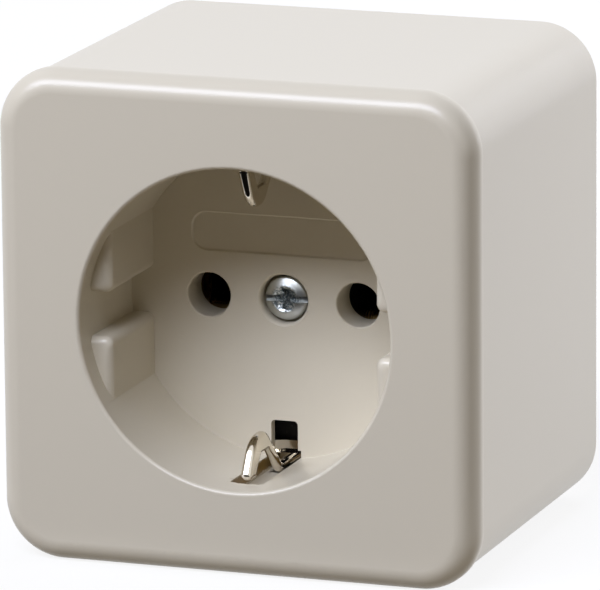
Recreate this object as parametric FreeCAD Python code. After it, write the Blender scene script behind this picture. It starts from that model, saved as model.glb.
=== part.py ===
import FreeCAD, Part
import math
import os

# A surface-mounted earthed socket outlet, type F, in millimetres.
# +Z is up, +X is to the right, the front faces -Y, and the origin is the centre of the wall face, y = 0.
# A depth is a distance behind the front plane.

# Outside of the two mouldings
FACE_WIDTH = 60.0
TOTAL_DEPTH = 48.5
CORNER_RADIUS = 7.4
FRONT_EDGE_RADIUS = 2.8
BACK_EDGE_CHAMFER = 0.5
RIM_DEPTH = 3.4
SEAM_STEP = 0.35

# Walls of the two mouldings
COVER_WALL = 2.2
BOX_WALL = 2.0
BACK_WALL = 2.2
SPIGOT_WALL = 1.5
SPIGOT_LENGTH = 4.6
SPIGOT_CLEARANCE = 0.15
WELL_WALL = 1.6
WELL_FLOOR = 2.0
RIB_THICKNESS = 1.2

# Well for the plug
WELL_RADIUS = 19.5
WELL_DEPTH = 17.5
WELL_MOUTH_CHAMFER = 0.4
PIN_SPACING = 19.0
PIN_HOLE_RADIUS = 2.7
PIN_COLLAR_WALL = 1.2
PIN_COLLAR_LENGTH = 2.5
GUIDE_SPAN = 33.2
GUIDE_CHANNEL = 5.4
GUIDE_START = 3.2
GUIDE_ROUNDING = 0.5

# Bare sunk field on the floor of the well
FIELD_WIDTH = 23.0
FIELD_HEIGHT = 4.5
FIELD_RISE = 7.85
FIELD_CORNER = 1.8
FIELD_SINK = 0.2

# Windows in the floor and closed channels in the wall that the earth contacts move in
EARTH_CHANNEL_WIDTH = 4.2
EARTH_CHANNEL_START = 4.2
EARTH_CHANNEL_SINK = 1.7
EARTH_CHANNEL_WALL = 1.2
EARTH_WINDOW_WIDTH = 3.4
EARTH_WINDOW_SPAN = 29.8
EARTH_WINDOW_ROUNDING = 0.5
EARTH_WINDOW_LIP = 1.3
EARTH_RELIEF_WIDTH = 7.8
EARTH_RELIEF_SPAN = 28.0

# Earth bracket, one folded strip
EARTH_SHEET = 1.2
EARTH_STRIP_WIDTH = 7.0
EARTH_BEND = 1.0
EARTH_CONTACT_SPAN = 27.6
EARTH_TONGUE_CHAMFER = 0.3
EARTH_NOSE_DEPTH = 6.1
EARTH_NOSE_RADIUS = 2.2
EARTH_SHIN_DEPTH = 3.6
EARTH_SHIN_RISE = 0.9
EARTH_SHIN_RADIUS = 0.6
EARTH_CROWN_DEPTH = 9.9
EARTH_CROWN_RADIUS = 5.0
EARTH_HEAD_THICKNESS = 2.5
EARTH_ARCH_DEPTH = 7.75
EARTH_ARCH_ROUNDING = 0.7
EARTH_KNEE_DEPTH = 15.5
EARTH_FOOT_SETBACK = 0.5
EARTH_FOOT_WIDTH = 1.5
EARTH_FOOT_GAP = 0.4
EARTH_FOOT_ROUNDING = 0.4
EARTH_WALL_CLEARANCE = 0.1
EARTH_FLOOR_CLEARANCE = 0.7
EARTH_LUG_SHEET = 0.6
EARTH_LUG_BEND = 0.4
EARTH_LUG_SWEEP = 0.8
EARTH_LUG_FLAT = 2.4
EARTH_LUG_RISE = 1.3

# Insulating block
BASE_CLEARANCE = 0.4
BASE_WALL = 1.5
BASE_POST_HEIGHT = 6.7
BASE_EARTH_GAP = 1.0
DECK_DROP = 4.6
CHAMBER_FLOOR = 1.2
CHAMBER_CLEARANCE = 0.4
POCKET_CLEARANCE = 0.4
WIRE_CHANNEL = 4.0
EARTH_WIRE_CHANNEL = 3.2

# Brass forks and their steel springs
CONTACT_SHEET = 0.8
CONTACT_BEND = 0.6
FORK_WIDTH = 6.4
FORK_MOUTH = 5.8
FORK_PINCH = 4.3
FORK_ARM = 1.9
FORK_SPRING_SHEET = 0.5
FORK_SPRING_WIDTH = 5.0
FORK_SPRING_CLEARANCE = 0.1
FORK_END_CLEARANCE = 1.6

# Terminals
TERMINAL_OFFSET = 7.0
TERMINAL_RISE = 6.4
EARTH_TERMINAL_RISE = 10.4
CLAMP_WIDTH = 6.4
CLAMP_THICKNESS = 1.2
CLAMP_GROOVE_RADIUS = 0.6
TERMINAL_HEAD_RADIUS = 2.7
TERMINAL_HEAD_HEIGHT = 2.2
TERMINAL_TIP = 3.0

# Screws and rivets
COVER_HEAD_RADIUS = 2.7
COVER_HEAD_HEIGHT = 2.2
COVER_HEAD_CLEARANCE = 0.3
COVER_BORE_CHAMFER = 0.4
COVER_HEAD_SINK = 0.2
COVER_SCREW_TIP = 3.0
BOSS_WALL = 1.2
BOSS_FLOOR = 1.4
SHANK_RADIUS = 1.45
THREAD_CLEARANCE = 0.05
SHANK_CLEARANCE = 0.3
SCREW_SLOT = 0.8
SCREW_SLOT_DEPTH = 1.1
SCREW_CROSS_LENGTH = 3.4
HEAD_DOME_RADIUS = 5.2
HEAD_CHAMFER = 0.4
RIVET_RADIUS = 1.2
RIVET_HEAD_RADIUS = 1.7
RIVET_HEAD_HEIGHT = 0.9
RIVET_CLEARANCE = 0.05
EARTH_RIVET_RISE = 5.0
CONTACT_RIVET_BED = 3.0
FIXING_HEAD_RADIUS = 2.8
FIXING_HEAD_HEIGHT = 2.0
FIXING_SEAT_DROP = 8.6
FIXING_SCREW_GRIP = 5.4

# Posts, wall fixing holes and cable ways of the box
POST_X = 10.5
POST_Z = 14.0
POST_RADIUS = 4.0
WALL_HOLE_RADIUS = 2.3
WALL_HOLE_INSET = 7.65
WALL_PAD_RADIUS = 5.0
WALL_PAD_HEIGHT = 1.0
CABLE_ENTRY_WIDTH = 20.0
CABLE_ENTRY_HEIGHT = 14.0
CABLE_ENTRY_CORNER = 3.0
KNOCKOUT_WIDTH = 16.0
KNOCKOUT_LENGTH = 12.0
KNOCKOUT_SKIN = 0.7

# Length by which a cutting tool runs past the faces that it cuts
CUT = 1.0

# Sizes worked out from those above
PIN_X = PIN_SPACING / 2
BOX_WIDTH = FACE_WIDTH - 2 * SEAM_STEP
BOX_CORNER = CORNER_RADIUS - SEAM_STEP
BOX_INSIDE = BOX_WIDTH - 2 * BOX_WALL
BOX_INSIDE_CORNER = BOX_CORNER - BOX_WALL
SPIGOT_OUTSIDE = BOX_INSIDE - 2 * SPIGOT_CLEARANCE
SPIGOT_OUTSIDE_CORNER = BOX_INSIDE_CORNER - SPIGOT_CLEARANCE
SPIGOT_INSIDE = SPIGOT_OUTSIDE - 2 * SPIGOT_WALL
SPIGOT_INSIDE_CORNER = SPIGOT_OUTSIDE_CORNER - SPIGOT_WALL
SPIGOT_END = RIM_DEPTH + SPIGOT_LENGTH
BACK_WALL_FRONT = TOTAL_DEPTH - BACK_WALL

FLOOR_BACK = WELL_DEPTH + WELL_FLOOR
WELL_OUTSIDE = WELL_RADIUS + WELL_WALL
CHANNEL_OUTSIDE = WELL_RADIUS + EARTH_CHANNEL_SINK + EARTH_CHANNEL_WALL
COLLAR_END = FLOOR_BACK + PIN_COLLAR_LENGTH
COLLAR_RADIUS = PIN_HOLE_RADIUS + PIN_COLLAR_WALL
COVER_HEAD_SEAT = WELL_DEPTH + COVER_HEAD_SINK + COVER_HEAD_HEIGHT
COUNTERBORE_RADIUS = COVER_HEAD_RADIUS + COVER_HEAD_CLEARANCE
BOSS_RADIUS = COUNTERBORE_RADIUS + BOSS_WALL
BOSS_END = COVER_HEAD_SEAT + BOSS_FLOOR

BASE_FRONT = COLLAR_END + BASE_CLEARANCE
BASE_BACK = BACK_WALL_FRONT - BASE_POST_HEIGHT
DECK = BASE_FRONT + DECK_DROP
CHAMBER_END = BASE_BACK - CHAMBER_FLOOR
CHAMBER_HALF_WIDTH = FORK_WIDTH / 2 + CHAMBER_CLEARANCE

EARTH_INSIDE = WELL_RADIUS + EARTH_WALL_CLEARANCE
EARTH_OUTSIDE = EARTH_INSIDE + EARTH_SHEET
EARTH_STRIP_BACK = DECK + EARTH_SHEET
BASE_HALF_HEIGHT = EARTH_INSIDE - BASE_EARTH_GAP

FORK_HALF_MOUTH = (FORK_MOUTH + CONTACT_SHEET) / 2
FORK_HALF_PINCH = (FORK_PINCH + CONTACT_SHEET) / 2
FORK_ARM_END = FORK_HALF_MOUTH + CONTACT_SHEET / 2 + FORK_ARM
FORK_START = DECK - CONTACT_SHEET / 2
FORK_END = CHAMBER_END - FORK_END_CLEARANCE
FORK_PINCH_DEPTH = (FORK_START + FORK_END) / 2
FORK_SPRING_OFFSET = (CONTACT_SHEET + FORK_SPRING_SHEET) / 2 + FORK_SPRING_CLEARANCE
CHAMBER_HALF_HEIGHT = FORK_HALF_MOUTH + FORK_SPRING_OFFSET + FORK_SPRING_SHEET / 2 + CHAMBER_CLEARANCE

TERMINAL_X = PIN_X + TERMINAL_OFFSET
POCKET_HALF_CLAMP = CLAMP_WIDTH / 2 + POCKET_CLEARANCE
POCKET_INNER_X = PIN_X - CHAMBER_HALF_WIDTH
POCKET_OUTER_X = TERMINAL_X + POCKET_HALF_CLAMP
POCKET_HALF_HEIGHT = TERMINAL_RISE + POCKET_HALF_CLAMP
BASE_RADIUS = math.hypot(POCKET_OUTER_X, POCKET_HALF_HEIGHT) + BASE_WALL
CONTACT_FRONT = DECK - CONTACT_SHEET
THREAD_RADIUS = SHANK_RADIUS + THREAD_CLEARANCE
SHANK_HOLE_RADIUS = SHANK_RADIUS + SHANK_CLEARANCE
RIVET_HOLE_RADIUS = RIVET_RADIUS + RIVET_CLEARANCE
FIXING_SEAT = BASE_FRONT + FIXING_SEAT_DROP
FIXING_HOLE_RADIUS = FIXING_HEAD_RADIUS + SHANK_CLEARANCE
FIXING_TIP = BASE_BACK + FIXING_SCREW_GRIP
WALL_HOLE_PLACE = BOX_INSIDE / 2 - WALL_HOLE_INSET


def point(x, depth, z):
    """A place in space, with y counted back from the front plane."""
    return FreeCAD.Vector(x, depth - TOTAL_DEPTH, z)


def block(x0, x1, front, back, z0, z1):
    """A plain box between two values of x, two depths and two values of z."""
    low = point(min(x0, x1), front, min(z0, z1))
    return Part.makeBox(abs(x1 - x0), back - front, abs(z1 - z0), low)


def rod(radius, x, z, front, back):
    """A cylinder that runs front to back."""
    return Part.makeCylinder(radius, back - front, point(x, front, z), FreeCAD.Vector(0, 1, 0))


def fuse(shapes):
    """One clean solid from shapes that overlap or share faces."""
    return shapes[0].fuse(shapes[1:]).removeSplitter()


def mirror_x(shape):
    """The same piece on the other side of the middle plane x = 0."""
    return shape.mirror(FreeCAD.Vector(0, 0, 0), FreeCAD.Vector(1, 0, 0))


def mirror_z(shape):
    """The same piece on the other side of the middle plane z = 0."""
    return shape.mirror(FreeCAD.Vector(0, 0, 0), FreeCAD.Vector(0, 0, 1))


def rounded_wire(corners, place):
    """A closed wire round corners (u, v, radius), with place giving the point in space for (u, v)."""
    turns = []
    for i, (u, v, radius) in enumerate(corners):
        here = FreeCAD.Vector(u, v, 0)
        after = corners[(i + 1) % len(corners)]
        back = (FreeCAD.Vector(*corners[i - 1][:2], 0) - here).normalize()
        ahead = (FreeCAD.Vector(*after[:2], 0) - here).normalize()
        half = back.getAngle(ahead) / 2
        reach = radius / math.tan(half)
        middle = (back + ahead).normalize() * (radius / math.sin(half) - radius)
        turns.append([place(p.x, p.y) for p in (here + back * reach, here + middle, here + ahead * reach)])
    edges = []
    for i, (start, middle, end) in enumerate(turns):
        if corners[i][2] > 0:
            edges.append(Part.Arc(start, middle, end).toShape())
        following = turns[(i + 1) % len(turns)][0]
        if end.distanceToPoint(following) > Part.Precision.confusion():
            edges.append(Part.LineSegment(end, following).toShape())
    return Part.Wire(edges)


def rounded_slab(width, height, corner, front, back, z=0.0):
    """A plate between two depths, a rectangle with rounded corners seen from the front."""
    w = width / 2
    h = height / 2
    corners = [(w, z + h, corner), (-w, z + h, corner), (-w, z - h, corner), (w, z - h, corner)]
    outline = rounded_wire(corners, lambda u, v: point(u, front, v))
    return Part.Face(outline).extrude(FreeCAD.Vector(0, back - front, 0))


def side_profile(corners, x0, x1):
    """A solid between two values of x whose outline has corners (depth, z, radius)."""
    outline = rounded_wire(corners, lambda depth, z: point(x0, depth, z))
    return Part.Face(outline).extrude(FreeCAD.Vector(x1 - x0, 0, 0))


def strip_corners(path, sheet, bend):
    """Corners round a strip of sheet metal folded along a path of (depth, z), with an inner bend radius."""
    left = []
    right = []
    for i, (depth, z) in enumerate(path):
        here = FreeCAD.Vector(depth, z, 0)
        before = FreeCAD.Vector(*path[max(i - 1, 0)], 0)
        after = FreeCAD.Vector(*path[min(i + 1, len(path) - 1)], 0)
        leave = (after - here).normalize() if i + 1 < len(path) else (here - before).normalize()
        arrive = (here - before).normalize() if i > 0 else leave
        across_in = FreeCAD.Vector(-arrive.y, arrive.x, 0)
        across_out = FreeCAD.Vector(-leave.y, leave.x, 0)
        offset = (across_in + across_out) * (sheet / 2 / (1 + across_in.dot(across_out)))
        turn = arrive.cross(leave).z
        is_end = i in (0, len(path) - 1)
        inner = 0 if is_end else bend
        outer = 0 if is_end else bend + sheet
        left.append((depth + offset.x, z + offset.y, inner if turn > 0 else outer))
        right.append((depth - offset.x, z - offset.y, outer if turn > 0 else inner))
    return left + right[::-1]


def edges_at_depth(shape, depth):
    """Every edge of a shape that lies in the plane at a depth."""
    y = point(0, depth, 0).y
    near = Part.Precision.confusion()
    return [e for e in shape.Edges if abs(e.BoundBox.YMin - y) < near and abs(e.BoundBox.YMax - y) < near]


def guide_block():
    """One of the four blocks at the sides of the well that guide the plug: the upper right one."""
    flat = GUIDE_SPAN / 2
    side = GUIDE_CHANNEL / 2
    root = rod(WELL_RADIUS + WELL_WALL / 2, 0, 0, GUIDE_START, WELL_DEPTH + WELL_FLOOR / 2)
    corner = block(flat, WELL_OUTSIDE, GUIDE_START, FLOOR_BACK, side, WELL_RADIUS)
    solid = root.common(corner)
    edges = []
    for edge in solid.Edges:
        middle = edge.CenterOfMass
        on_flat = abs(middle.x - flat) < GUIDE_ROUNDING / 2
        on_side = abs(middle.z - side) < GUIDE_ROUNDING / 2
        on_front = abs(middle.y - point(0, GUIDE_START, 0).y) < GUIDE_ROUNDING / 2
        if on_flat + on_side + on_front == 2:
            edges.append(edge)
    return solid.makeFillet(GUIDE_ROUNDING, edges)


def guide_blocks():
    """The four guide blocks, mirrored from one."""
    right_upper = guide_block()
    right = [right_upper, mirror_z(right_upper)]
    return right + [mirror_x(b) for b in right]


def cover_ribs():
    """Gusset ribs on the back of the cover, from the well to the corners of the spigot."""
    near = WELL_RADIUS + WELL_WALL / 2
    corner = math.sqrt(2) * (SPIGOT_INSIDE / 2 - SPIGOT_INSIDE_CORNER) + SPIGOT_INSIDE_CORNER
    far = corner + SPIGOT_WALL / 2
    ribs = []
    for angle in (45, 135, 225, 315):
        rib = block(near, far, COVER_WALL / 2, SPIGOT_END, -RIB_THICKNESS / 2, RIB_THICKNESS / 2)
        rib.rotate(FreeCAD.Vector(0, 0, 0), FreeCAD.Vector(0, 1, 0), angle)
        ribs.append(rib)
    return ribs


def cover_shell():
    """The front wall with its rounded edge, the spigot that nests in the box, and the ribs."""
    plate = rounded_slab(FACE_WIDTH, FACE_WIDTH, CORNER_RADIUS, 0, RIM_DEPTH)
    plate = plate.makeFillet(FRONT_EDGE_RADIUS, edges_at_depth(plate, 0))
    spigot = rounded_slab(SPIGOT_OUTSIDE, SPIGOT_OUTSIDE, SPIGOT_OUTSIDE_CORNER, COVER_WALL, SPIGOT_END)
    inside = rounded_slab(
        SPIGOT_INSIDE, SPIGOT_INSIDE, SPIGOT_INSIDE_CORNER, COVER_WALL, SPIGOT_END + CUT
    )
    return fuse([plate.fuse(spigot).cut(inside)] + cover_ribs())


def cover_openings():
    """Everything that is cut from the floor and wall of the well."""
    cuts = [rod(COUNTERBORE_RADIUS, 0, 0, WELL_DEPTH - CUT, COVER_HEAD_SEAT)]
    wide = COUNTERBORE_RADIUS + COVER_BORE_CHAMFER
    bevel = Part.makeCone(
        wide, COUNTERBORE_RADIUS, COVER_BORE_CHAMFER, point(0, WELL_DEPTH, 0), FreeCAD.Vector(0, 1, 0)
    )
    cuts.append(bevel)
    cuts.append(rod(SHANK_HOLE_RADIUS, 0, 0, WELL_DEPTH, BOSS_END + CUT))
    for side in (-1, 1):
        cuts.append(rod(PIN_HOLE_RADIUS, side * PIN_X, 0, WELL_DEPTH - CUT, COLLAR_END + CUT))
    front = WELL_DEPTH - CUT
    back = FLOOR_BACK + CUT
    half_channel = EARTH_CHANNEL_WIDTH / 2
    half_relief = EARTH_RELIEF_WIDTH / 2
    for end in (-1, 1):
        reach = CHANNEL_OUTSIDE + CUT
        height = reach - EARTH_WINDOW_SPAN / 2
        middle = end * (reach + EARTH_WINDOW_SPAN / 2) / 2
        wall = end * (WELL_RADIUS - CUT)
        sunk = end * (WELL_RADIUS + EARTH_CHANNEL_SINK)
        near = end * EARTH_RELIEF_SPAN / 2
        cuts.append(rounded_slab(EARTH_WINDOW_WIDTH, height, EARTH_WINDOW_ROUNDING, front, back, middle))
        cuts.append(block(-half_channel, half_channel, EARTH_CHANNEL_START, back, wall, sunk))
        cuts.append(block(-half_relief, half_relief, WELL_DEPTH + EARTH_WINDOW_LIP, back, near, end * reach))
    field_back = WELL_DEPTH + FIELD_SINK
    cuts.append(rounded_slab(FIELD_WIDTH, FIELD_HEIGHT, FIELD_CORNER, front, field_back, FIELD_RISE))
    return cuts


def earth_channels():
    """The walls that close the two earth channels behind the wall of the well."""
    half = EARTH_CHANNEL_WIDTH / 2 + EARTH_CHANNEL_WALL
    front = COVER_WALL / 2
    root = WELL_RADIUS + WELL_WALL / 2
    return [block(-half, half, front, FLOOR_BACK, end * root, end * CHANNEL_OUTSIDE) for end in (-1, 1)]


def front_cover():
    """The front moulding: shell, well, guide blocks, pin collars and screw boss in one piece."""
    well = rod(WELL_OUTSIDE, 0, 0, COVER_WALL / 2, FLOOR_BACK)
    boss = rod(BOSS_RADIUS, 0, 0, WELL_DEPTH + WELL_FLOOR / 2, BOSS_END)
    collars = [rod(COLLAR_RADIUS, s * PIN_X, 0, WELL_DEPTH + WELL_FLOOR / 2, COLLAR_END) for s in (-1, 1)]
    body = fuse([cover_shell(), well, boss] + collars + earth_channels())
    body = body.cut(rod(WELL_RADIUS, 0, 0, -CUT, WELL_DEPTH))
    mouth = [e for e in edges_at_depth(body, 0) if abs(e.BoundBox.XLength - 2 * WELL_RADIUS) < CUT]
    body = body.makeChamfer(WELL_MOUTH_CHAMFER, mouth)
    return fuse([body] + guide_blocks()).cut(cover_openings())


def box_cuts():
    """The holes of the box: post pilots, wall fixing holes, the cable entry and the thinned knock-outs."""
    cuts = []
    pad = BACK_WALL_FRONT - WALL_PAD_HEIGHT
    back = TOTAL_DEPTH + CUT
    for side in (-1, 1):
        cuts.append(rod(THREAD_RADIUS, side * POST_X, side * POST_Z, BASE_BACK - CUT, FIXING_TIP + CUT / 2))
        place = side * WALL_HOLE_PLACE
        cuts.append(rod(WALL_HOLE_RADIUS, place, -place, pad - CUT, back))
        wall = side * BOX_INSIDE / 2
        skin = side * (BOX_WIDTH / 2 - KNOCKOUT_SKIN)
        half = KNOCKOUT_WIDTH / 2
        start = BACK_WALL_FRONT - KNOCKOUT_LENGTH
        cuts.append(block(-half, half, start, BACK_WALL_FRONT, wall - side * CUT, skin))
        low = point(0, start, min(wall - side * CUT, skin))
        cuts.append(Part.makeCylinder(half, abs(skin - wall) + CUT, low, FreeCAD.Vector(0, 0, 1)))
    front = BACK_WALL_FRONT - CUT
    cuts.append(rounded_slab(CABLE_ENTRY_WIDTH, CABLE_ENTRY_HEIGHT, CABLE_ENTRY_CORNER, front, back))
    return cuts


def housing_box():
    """The box behind the seam, open at the front, with four posts for the block and two wall fixing pads."""
    outside = rounded_slab(BOX_WIDTH, BOX_WIDTH, BOX_CORNER, RIM_DEPTH, TOTAL_DEPTH)
    outside = outside.makeChamfer(BACK_EDGE_CHAMFER, edges_at_depth(outside, TOTAL_DEPTH))
    inside = rounded_slab(BOX_INSIDE, BOX_INSIDE, BOX_INSIDE_CORNER, RIM_DEPTH - CUT, BACK_WALL_FRONT)
    shell = outside.cut(inside)
    wall = BACK_WALL_FRONT + BACK_WALL / 2
    raised = []
    for side in (-1, 1):
        for end in (-1, 1):
            raised.append(rod(POST_RADIUS, side * POST_X, end * POST_Z, BASE_BACK, wall))
        place = side * WALL_HOLE_PLACE
        raised.append(rod(WALL_PAD_RADIUS, place, -place, BACK_WALL_FRONT - WALL_PAD_HEIGHT, wall))
    return fuse([shell] + raised).cut(box_cuts())


def pole_cuts():
    """The pocket, fork chamber, wire channels and holes for the contact on the right of the block."""
    front = BASE_FRONT - CUT
    chamber_outer_x = PIN_X + CHAMBER_HALF_WIDTH
    tall = POCKET_HALF_HEIGHT
    low = CHAMBER_HALF_HEIGHT
    cuts = [
        block(POCKET_INNER_X, POCKET_OUTER_X, front, DECK, -tall, tall),
        block(POCKET_INNER_X, chamber_outer_x, front, CHAMBER_END, -low, low),
        rod(RIVET_HOLE_RADIUS, TERMINAL_X, 0, DECK - CUT, BASE_BACK),
        rod(RIVET_HEAD_RADIUS + SHANK_CLEARANCE, TERMINAL_X, 0, DECK + CONTACT_RIVET_BED, BASE_BACK + CUT),
    ]
    half = WIRE_CHANNEL / 2
    for end in (-1, 1):
        inner = end * (POCKET_HALF_HEIGHT - CUT)
        outer = end * (BASE_RADIUS + CUT)
        cuts.append(block(TERMINAL_X - half, TERMINAL_X + half, front, DECK, inner, outer))
        cuts.append(
            rod(SHANK_HOLE_RADIUS, TERMINAL_X, end * TERMINAL_RISE, DECK - CUT, DECK + TERMINAL_TIP + CUT)
        )
    return cuts


def earth_cuts():
    """The groove from the back for the earth strip, the earth terminal pockets and their wire channels."""
    half_strip = EARTH_STRIP_WIDTH / 2 + SHANK_CLEARANCE
    cuts = [
        block(-half_strip, half_strip, DECK, BASE_BACK + CUT, -BASE_RADIUS, BASE_RADIUS),
        rod(SHANK_HOLE_RADIUS, 0, 0, BASE_FRONT - CUT, DECK + CUT),
    ]
    for end in (-1, 1):
        rise = end * EARTH_TERMINAL_RISE
        low = rise - POCKET_HALF_CLAMP
        high = rise + POCKET_HALF_CLAMP
        cuts.append(block(-POCKET_HALF_CLAMP, POCKET_HALF_CLAMP, BASE_FRONT - CUT, DECK + CUT, low, high))
        channel = POCKET_HALF_CLAMP - EARTH_WIRE_CHANNEL
        cuts.append(block(channel, POCKET_HALF_CLAMP, BASE_FRONT - CUT, DECK + CUT, rise, end * BASE_RADIUS))
        cuts.append(rod(RIVET_HOLE_RADIUS, 0, end * EARTH_RIVET_RISE, BASE_FRONT - CUT, DECK + CUT))
        x = end * POST_X
        z = end * POST_Z
        cuts.append(rod(FIXING_HOLE_RADIUS, x, z, BASE_FRONT - CUT, FIXING_SEAT))
        cuts.append(rod(SHANK_HOLE_RADIUS, x, z, FIXING_SEAT - CUT, BASE_BACK + CUT))
    return cuts


def socket_base():
    """The insulating block: a disc with flats at top and bottom, cut for the contacts and terminals."""
    disc = rod(BASE_RADIUS, 0, 0, BASE_FRONT, BASE_BACK)
    flats = block(-BASE_RADIUS, BASE_RADIUS, BASE_FRONT, BASE_BACK, -BASE_HALF_HEIGHT, BASE_HALF_HEIGHT)
    poles = pole_cuts()
    return disc.common(flats).cut(poles + [mirror_x(c) for c in poles] + earth_cuts()).removeSplitter()


def fork_contact():
    """The right-hand brass contact: a terminal plate and two blades folded back that grip the pin."""
    x0 = PIN_X - FORK_WIDTH / 2
    x1 = PIN_X + FORK_WIDTH / 2
    outer_x = POCKET_OUTER_X - POCKET_CLEARANCE
    half_height = POCKET_HALF_HEIGHT - POCKET_CLEARANCE
    pieces = [block(x1, outer_x, CONTACT_FRONT, DECK, -half_height, half_height)]
    for end in (-1, 1):
        path = [
            (FORK_START, end * FORK_ARM_END),
            (FORK_START, end * FORK_HALF_MOUTH),
            (FORK_PINCH_DEPTH, end * FORK_HALF_PINCH),
            (FORK_END, end * FORK_HALF_MOUTH),
        ]
        pieces.append(side_profile(strip_corners(path, CONTACT_SHEET, CONTACT_BEND), x0, x1))
    holes = [rod(RIVET_HOLE_RADIUS, TERMINAL_X, 0, CONTACT_FRONT - CUT, DECK + CUT)]
    for end in (-1, 1):
        holes.append(rod(THREAD_RADIUS, TERMINAL_X, end * TERMINAL_RISE, CONTACT_FRONT - CUT, DECK + CUT))
    return fuse(pieces).cut(holes)


def fork_spring():
    """The steel spring round the right-hand fork, a U whose legs follow the blades."""
    leg_start = FORK_START + CONTACT_SHEET + CONTACT_BEND + FORK_SPRING_CLEARANCE
    web = CHAMBER_END - FORK_SPRING_CLEARANCE - FORK_SPRING_SHEET / 2
    mouth = FORK_HALF_MOUTH + FORK_SPRING_OFFSET
    pinch = FORK_HALF_PINCH + FORK_SPRING_OFFSET
    upper = [(leg_start, mouth), (FORK_PINCH_DEPTH, pinch), (FORK_END, mouth), (web, mouth)]
    lower = [(depth, -z) for depth, z in upper[::-1]]
    corners = strip_corners(upper + lower, FORK_SPRING_SHEET, CONTACT_BEND)
    return side_profile(corners, PIN_X - FORK_SPRING_WIDTH / 2, PIN_X + FORK_SPRING_WIDTH / 2)


def earth_tongue():
    """The sprung end of the earth bracket at the top of the well, a blade on edge bent into an arch."""
    tip = EARTH_CONTACT_SPAN / 2
    root = FLOOR_BACK + EARTH_FLOOR_CLEARANCE + EARTH_SHEET
    foot_end = WELL_RADIUS - EARTH_FOOT_GAP
    foot_front = EARTH_SHIN_DEPTH + EARTH_FOOT_SETBACK
    foot_back = foot_front + EARTH_FOOT_WIDTH
    slope = math.atan2(EARTH_INSIDE - tip, EARTH_KNEE_DEPTH - EARTH_CROWN_DEPTH)
    knee_outside = EARTH_KNEE_DEPTH - EARTH_SHEET * math.tan(slope / 2)
    arch_top = tip + EARTH_HEAD_THICKNESS
    arch_back = knee_outside - (EARTH_OUTSIDE - arch_top) / math.tan(slope)
    corners = [
        (root, EARTH_INSIDE, 0),
        (EARTH_KNEE_DEPTH, EARTH_INSIDE, EARTH_BEND),
        (EARTH_CROWN_DEPTH, tip, EARTH_CROWN_RADIUS),
        (EARTH_NOSE_DEPTH, tip, EARTH_NOSE_RADIUS),
        (EARTH_SHIN_DEPTH, WELL_RADIUS - EARTH_SHIN_RISE, EARTH_SHIN_RADIUS),
        (foot_front, foot_end, EARTH_FOOT_ROUNDING),
        (foot_back, foot_end, EARTH_FOOT_ROUNDING),
        (EARTH_ARCH_DEPTH, arch_top, EARTH_ARCH_ROUNDING),
        (arch_back, arch_top, 2 * EARTH_ARCH_ROUNDING),
        (knee_outside, EARTH_OUTSIDE, EARTH_BEND + EARTH_SHEET),
        (root, EARTH_OUTSIDE, 0),
    ]
    half = EARTH_SHEET / 2
    solid = side_profile(corners, -half, half)
    front = point(0, root, 0).y
    rims = [e for e in solid.Edges if e.BoundBox.XLength < half and e.BoundBox.YMin < front - EARTH_SHEET]
    return solid.makeChamfer(EARTH_TONGUE_CHAMFER, rims)


def earth_lug():
    """The trough-shaped lug that stands up from the upper riser behind its tongue."""
    wing = (EARTH_STRIP_WIDTH - EARTH_LUG_SHEET) / 2
    flat = EARTH_LUG_FLAT / 2
    near = FLOOR_BACK + EARTH_FLOOR_CLEARANCE + EARTH_LUG_SHEET
    far = near + EARTH_LUG_SWEEP
    path = [(-wing, near), (-flat, far), (flat, far), (wing, near)]
    top = EARTH_INSIDE - EARTH_LUG_RISE
    root = (EARTH_INSIDE + EARTH_OUTSIDE) / 2
    corners = strip_corners(path, EARTH_LUG_SHEET, EARTH_LUG_BEND)
    outline = rounded_wire(corners, lambda x, depth: point(x, depth, top))
    return Part.Face(outline).extrude(FreeCAD.Vector(0, 0, root - top))


def earth_bracket():
    """The earth bracket: a strip across the block, folded forward at both ends into the sprung tongues."""
    middle = (EARTH_INSIDE + EARTH_OUTSIDE) / 2
    strip_depth = DECK + EARTH_SHEET / 2
    riser_front = FLOOR_BACK + EARTH_FLOOR_CLEARANCE
    path = [(riser_front, middle), (strip_depth, middle), (strip_depth, -middle), (riser_front, -middle)]
    half = EARTH_STRIP_WIDTH / 2
    strip = side_profile(strip_corners(path, EARTH_SHEET, EARTH_BEND), -half, half)
    upper = [earth_tongue(), earth_lug()]
    lower = [mirror_z(shape) for shape in upper]
    holes = [rod(THREAD_RADIUS, 0, 0, DECK - CUT, EARTH_STRIP_BACK + CUT)]
    for end in (-1, 1):
        holes.append(rod(THREAD_RADIUS, 0, end * EARTH_TERMINAL_RISE, DECK - CUT, EARTH_STRIP_BACK + CUT))
        holes.append(rod(RIVET_HOLE_RADIUS, 0, end * EARTH_RIVET_RISE, DECK - CUT, EARTH_STRIP_BACK + CUT))
    return fuse([strip] + upper + lower).cut(holes)


def clamp(x, z, seat):
    """A wire clamp plate whose back lies on the terminal at a depth, with two grooves for the wires."""
    half = CLAMP_WIDTH / 2
    plate = block(x - half, x + half, seat - CLAMP_THICKNESS, seat, z - half, z + half)
    cuts = [rod(SHANK_HOLE_RADIUS, x, z, seat - CLAMP_THICKNESS - CUT, seat + CUT)]
    groove_x = (SHANK_HOLE_RADIUS + half) / 2
    for side in (-1, 1):
        start = point(x + side * groove_x, seat, z - half - CUT)
        length = CLAMP_WIDTH + 2 * CUT
        cuts.append(Part.makeCylinder(CLAMP_GROOVE_RADIUS, length, start, FreeCAD.Vector(0, 0, 1)))
    return plate.cut(cuts)


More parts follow.
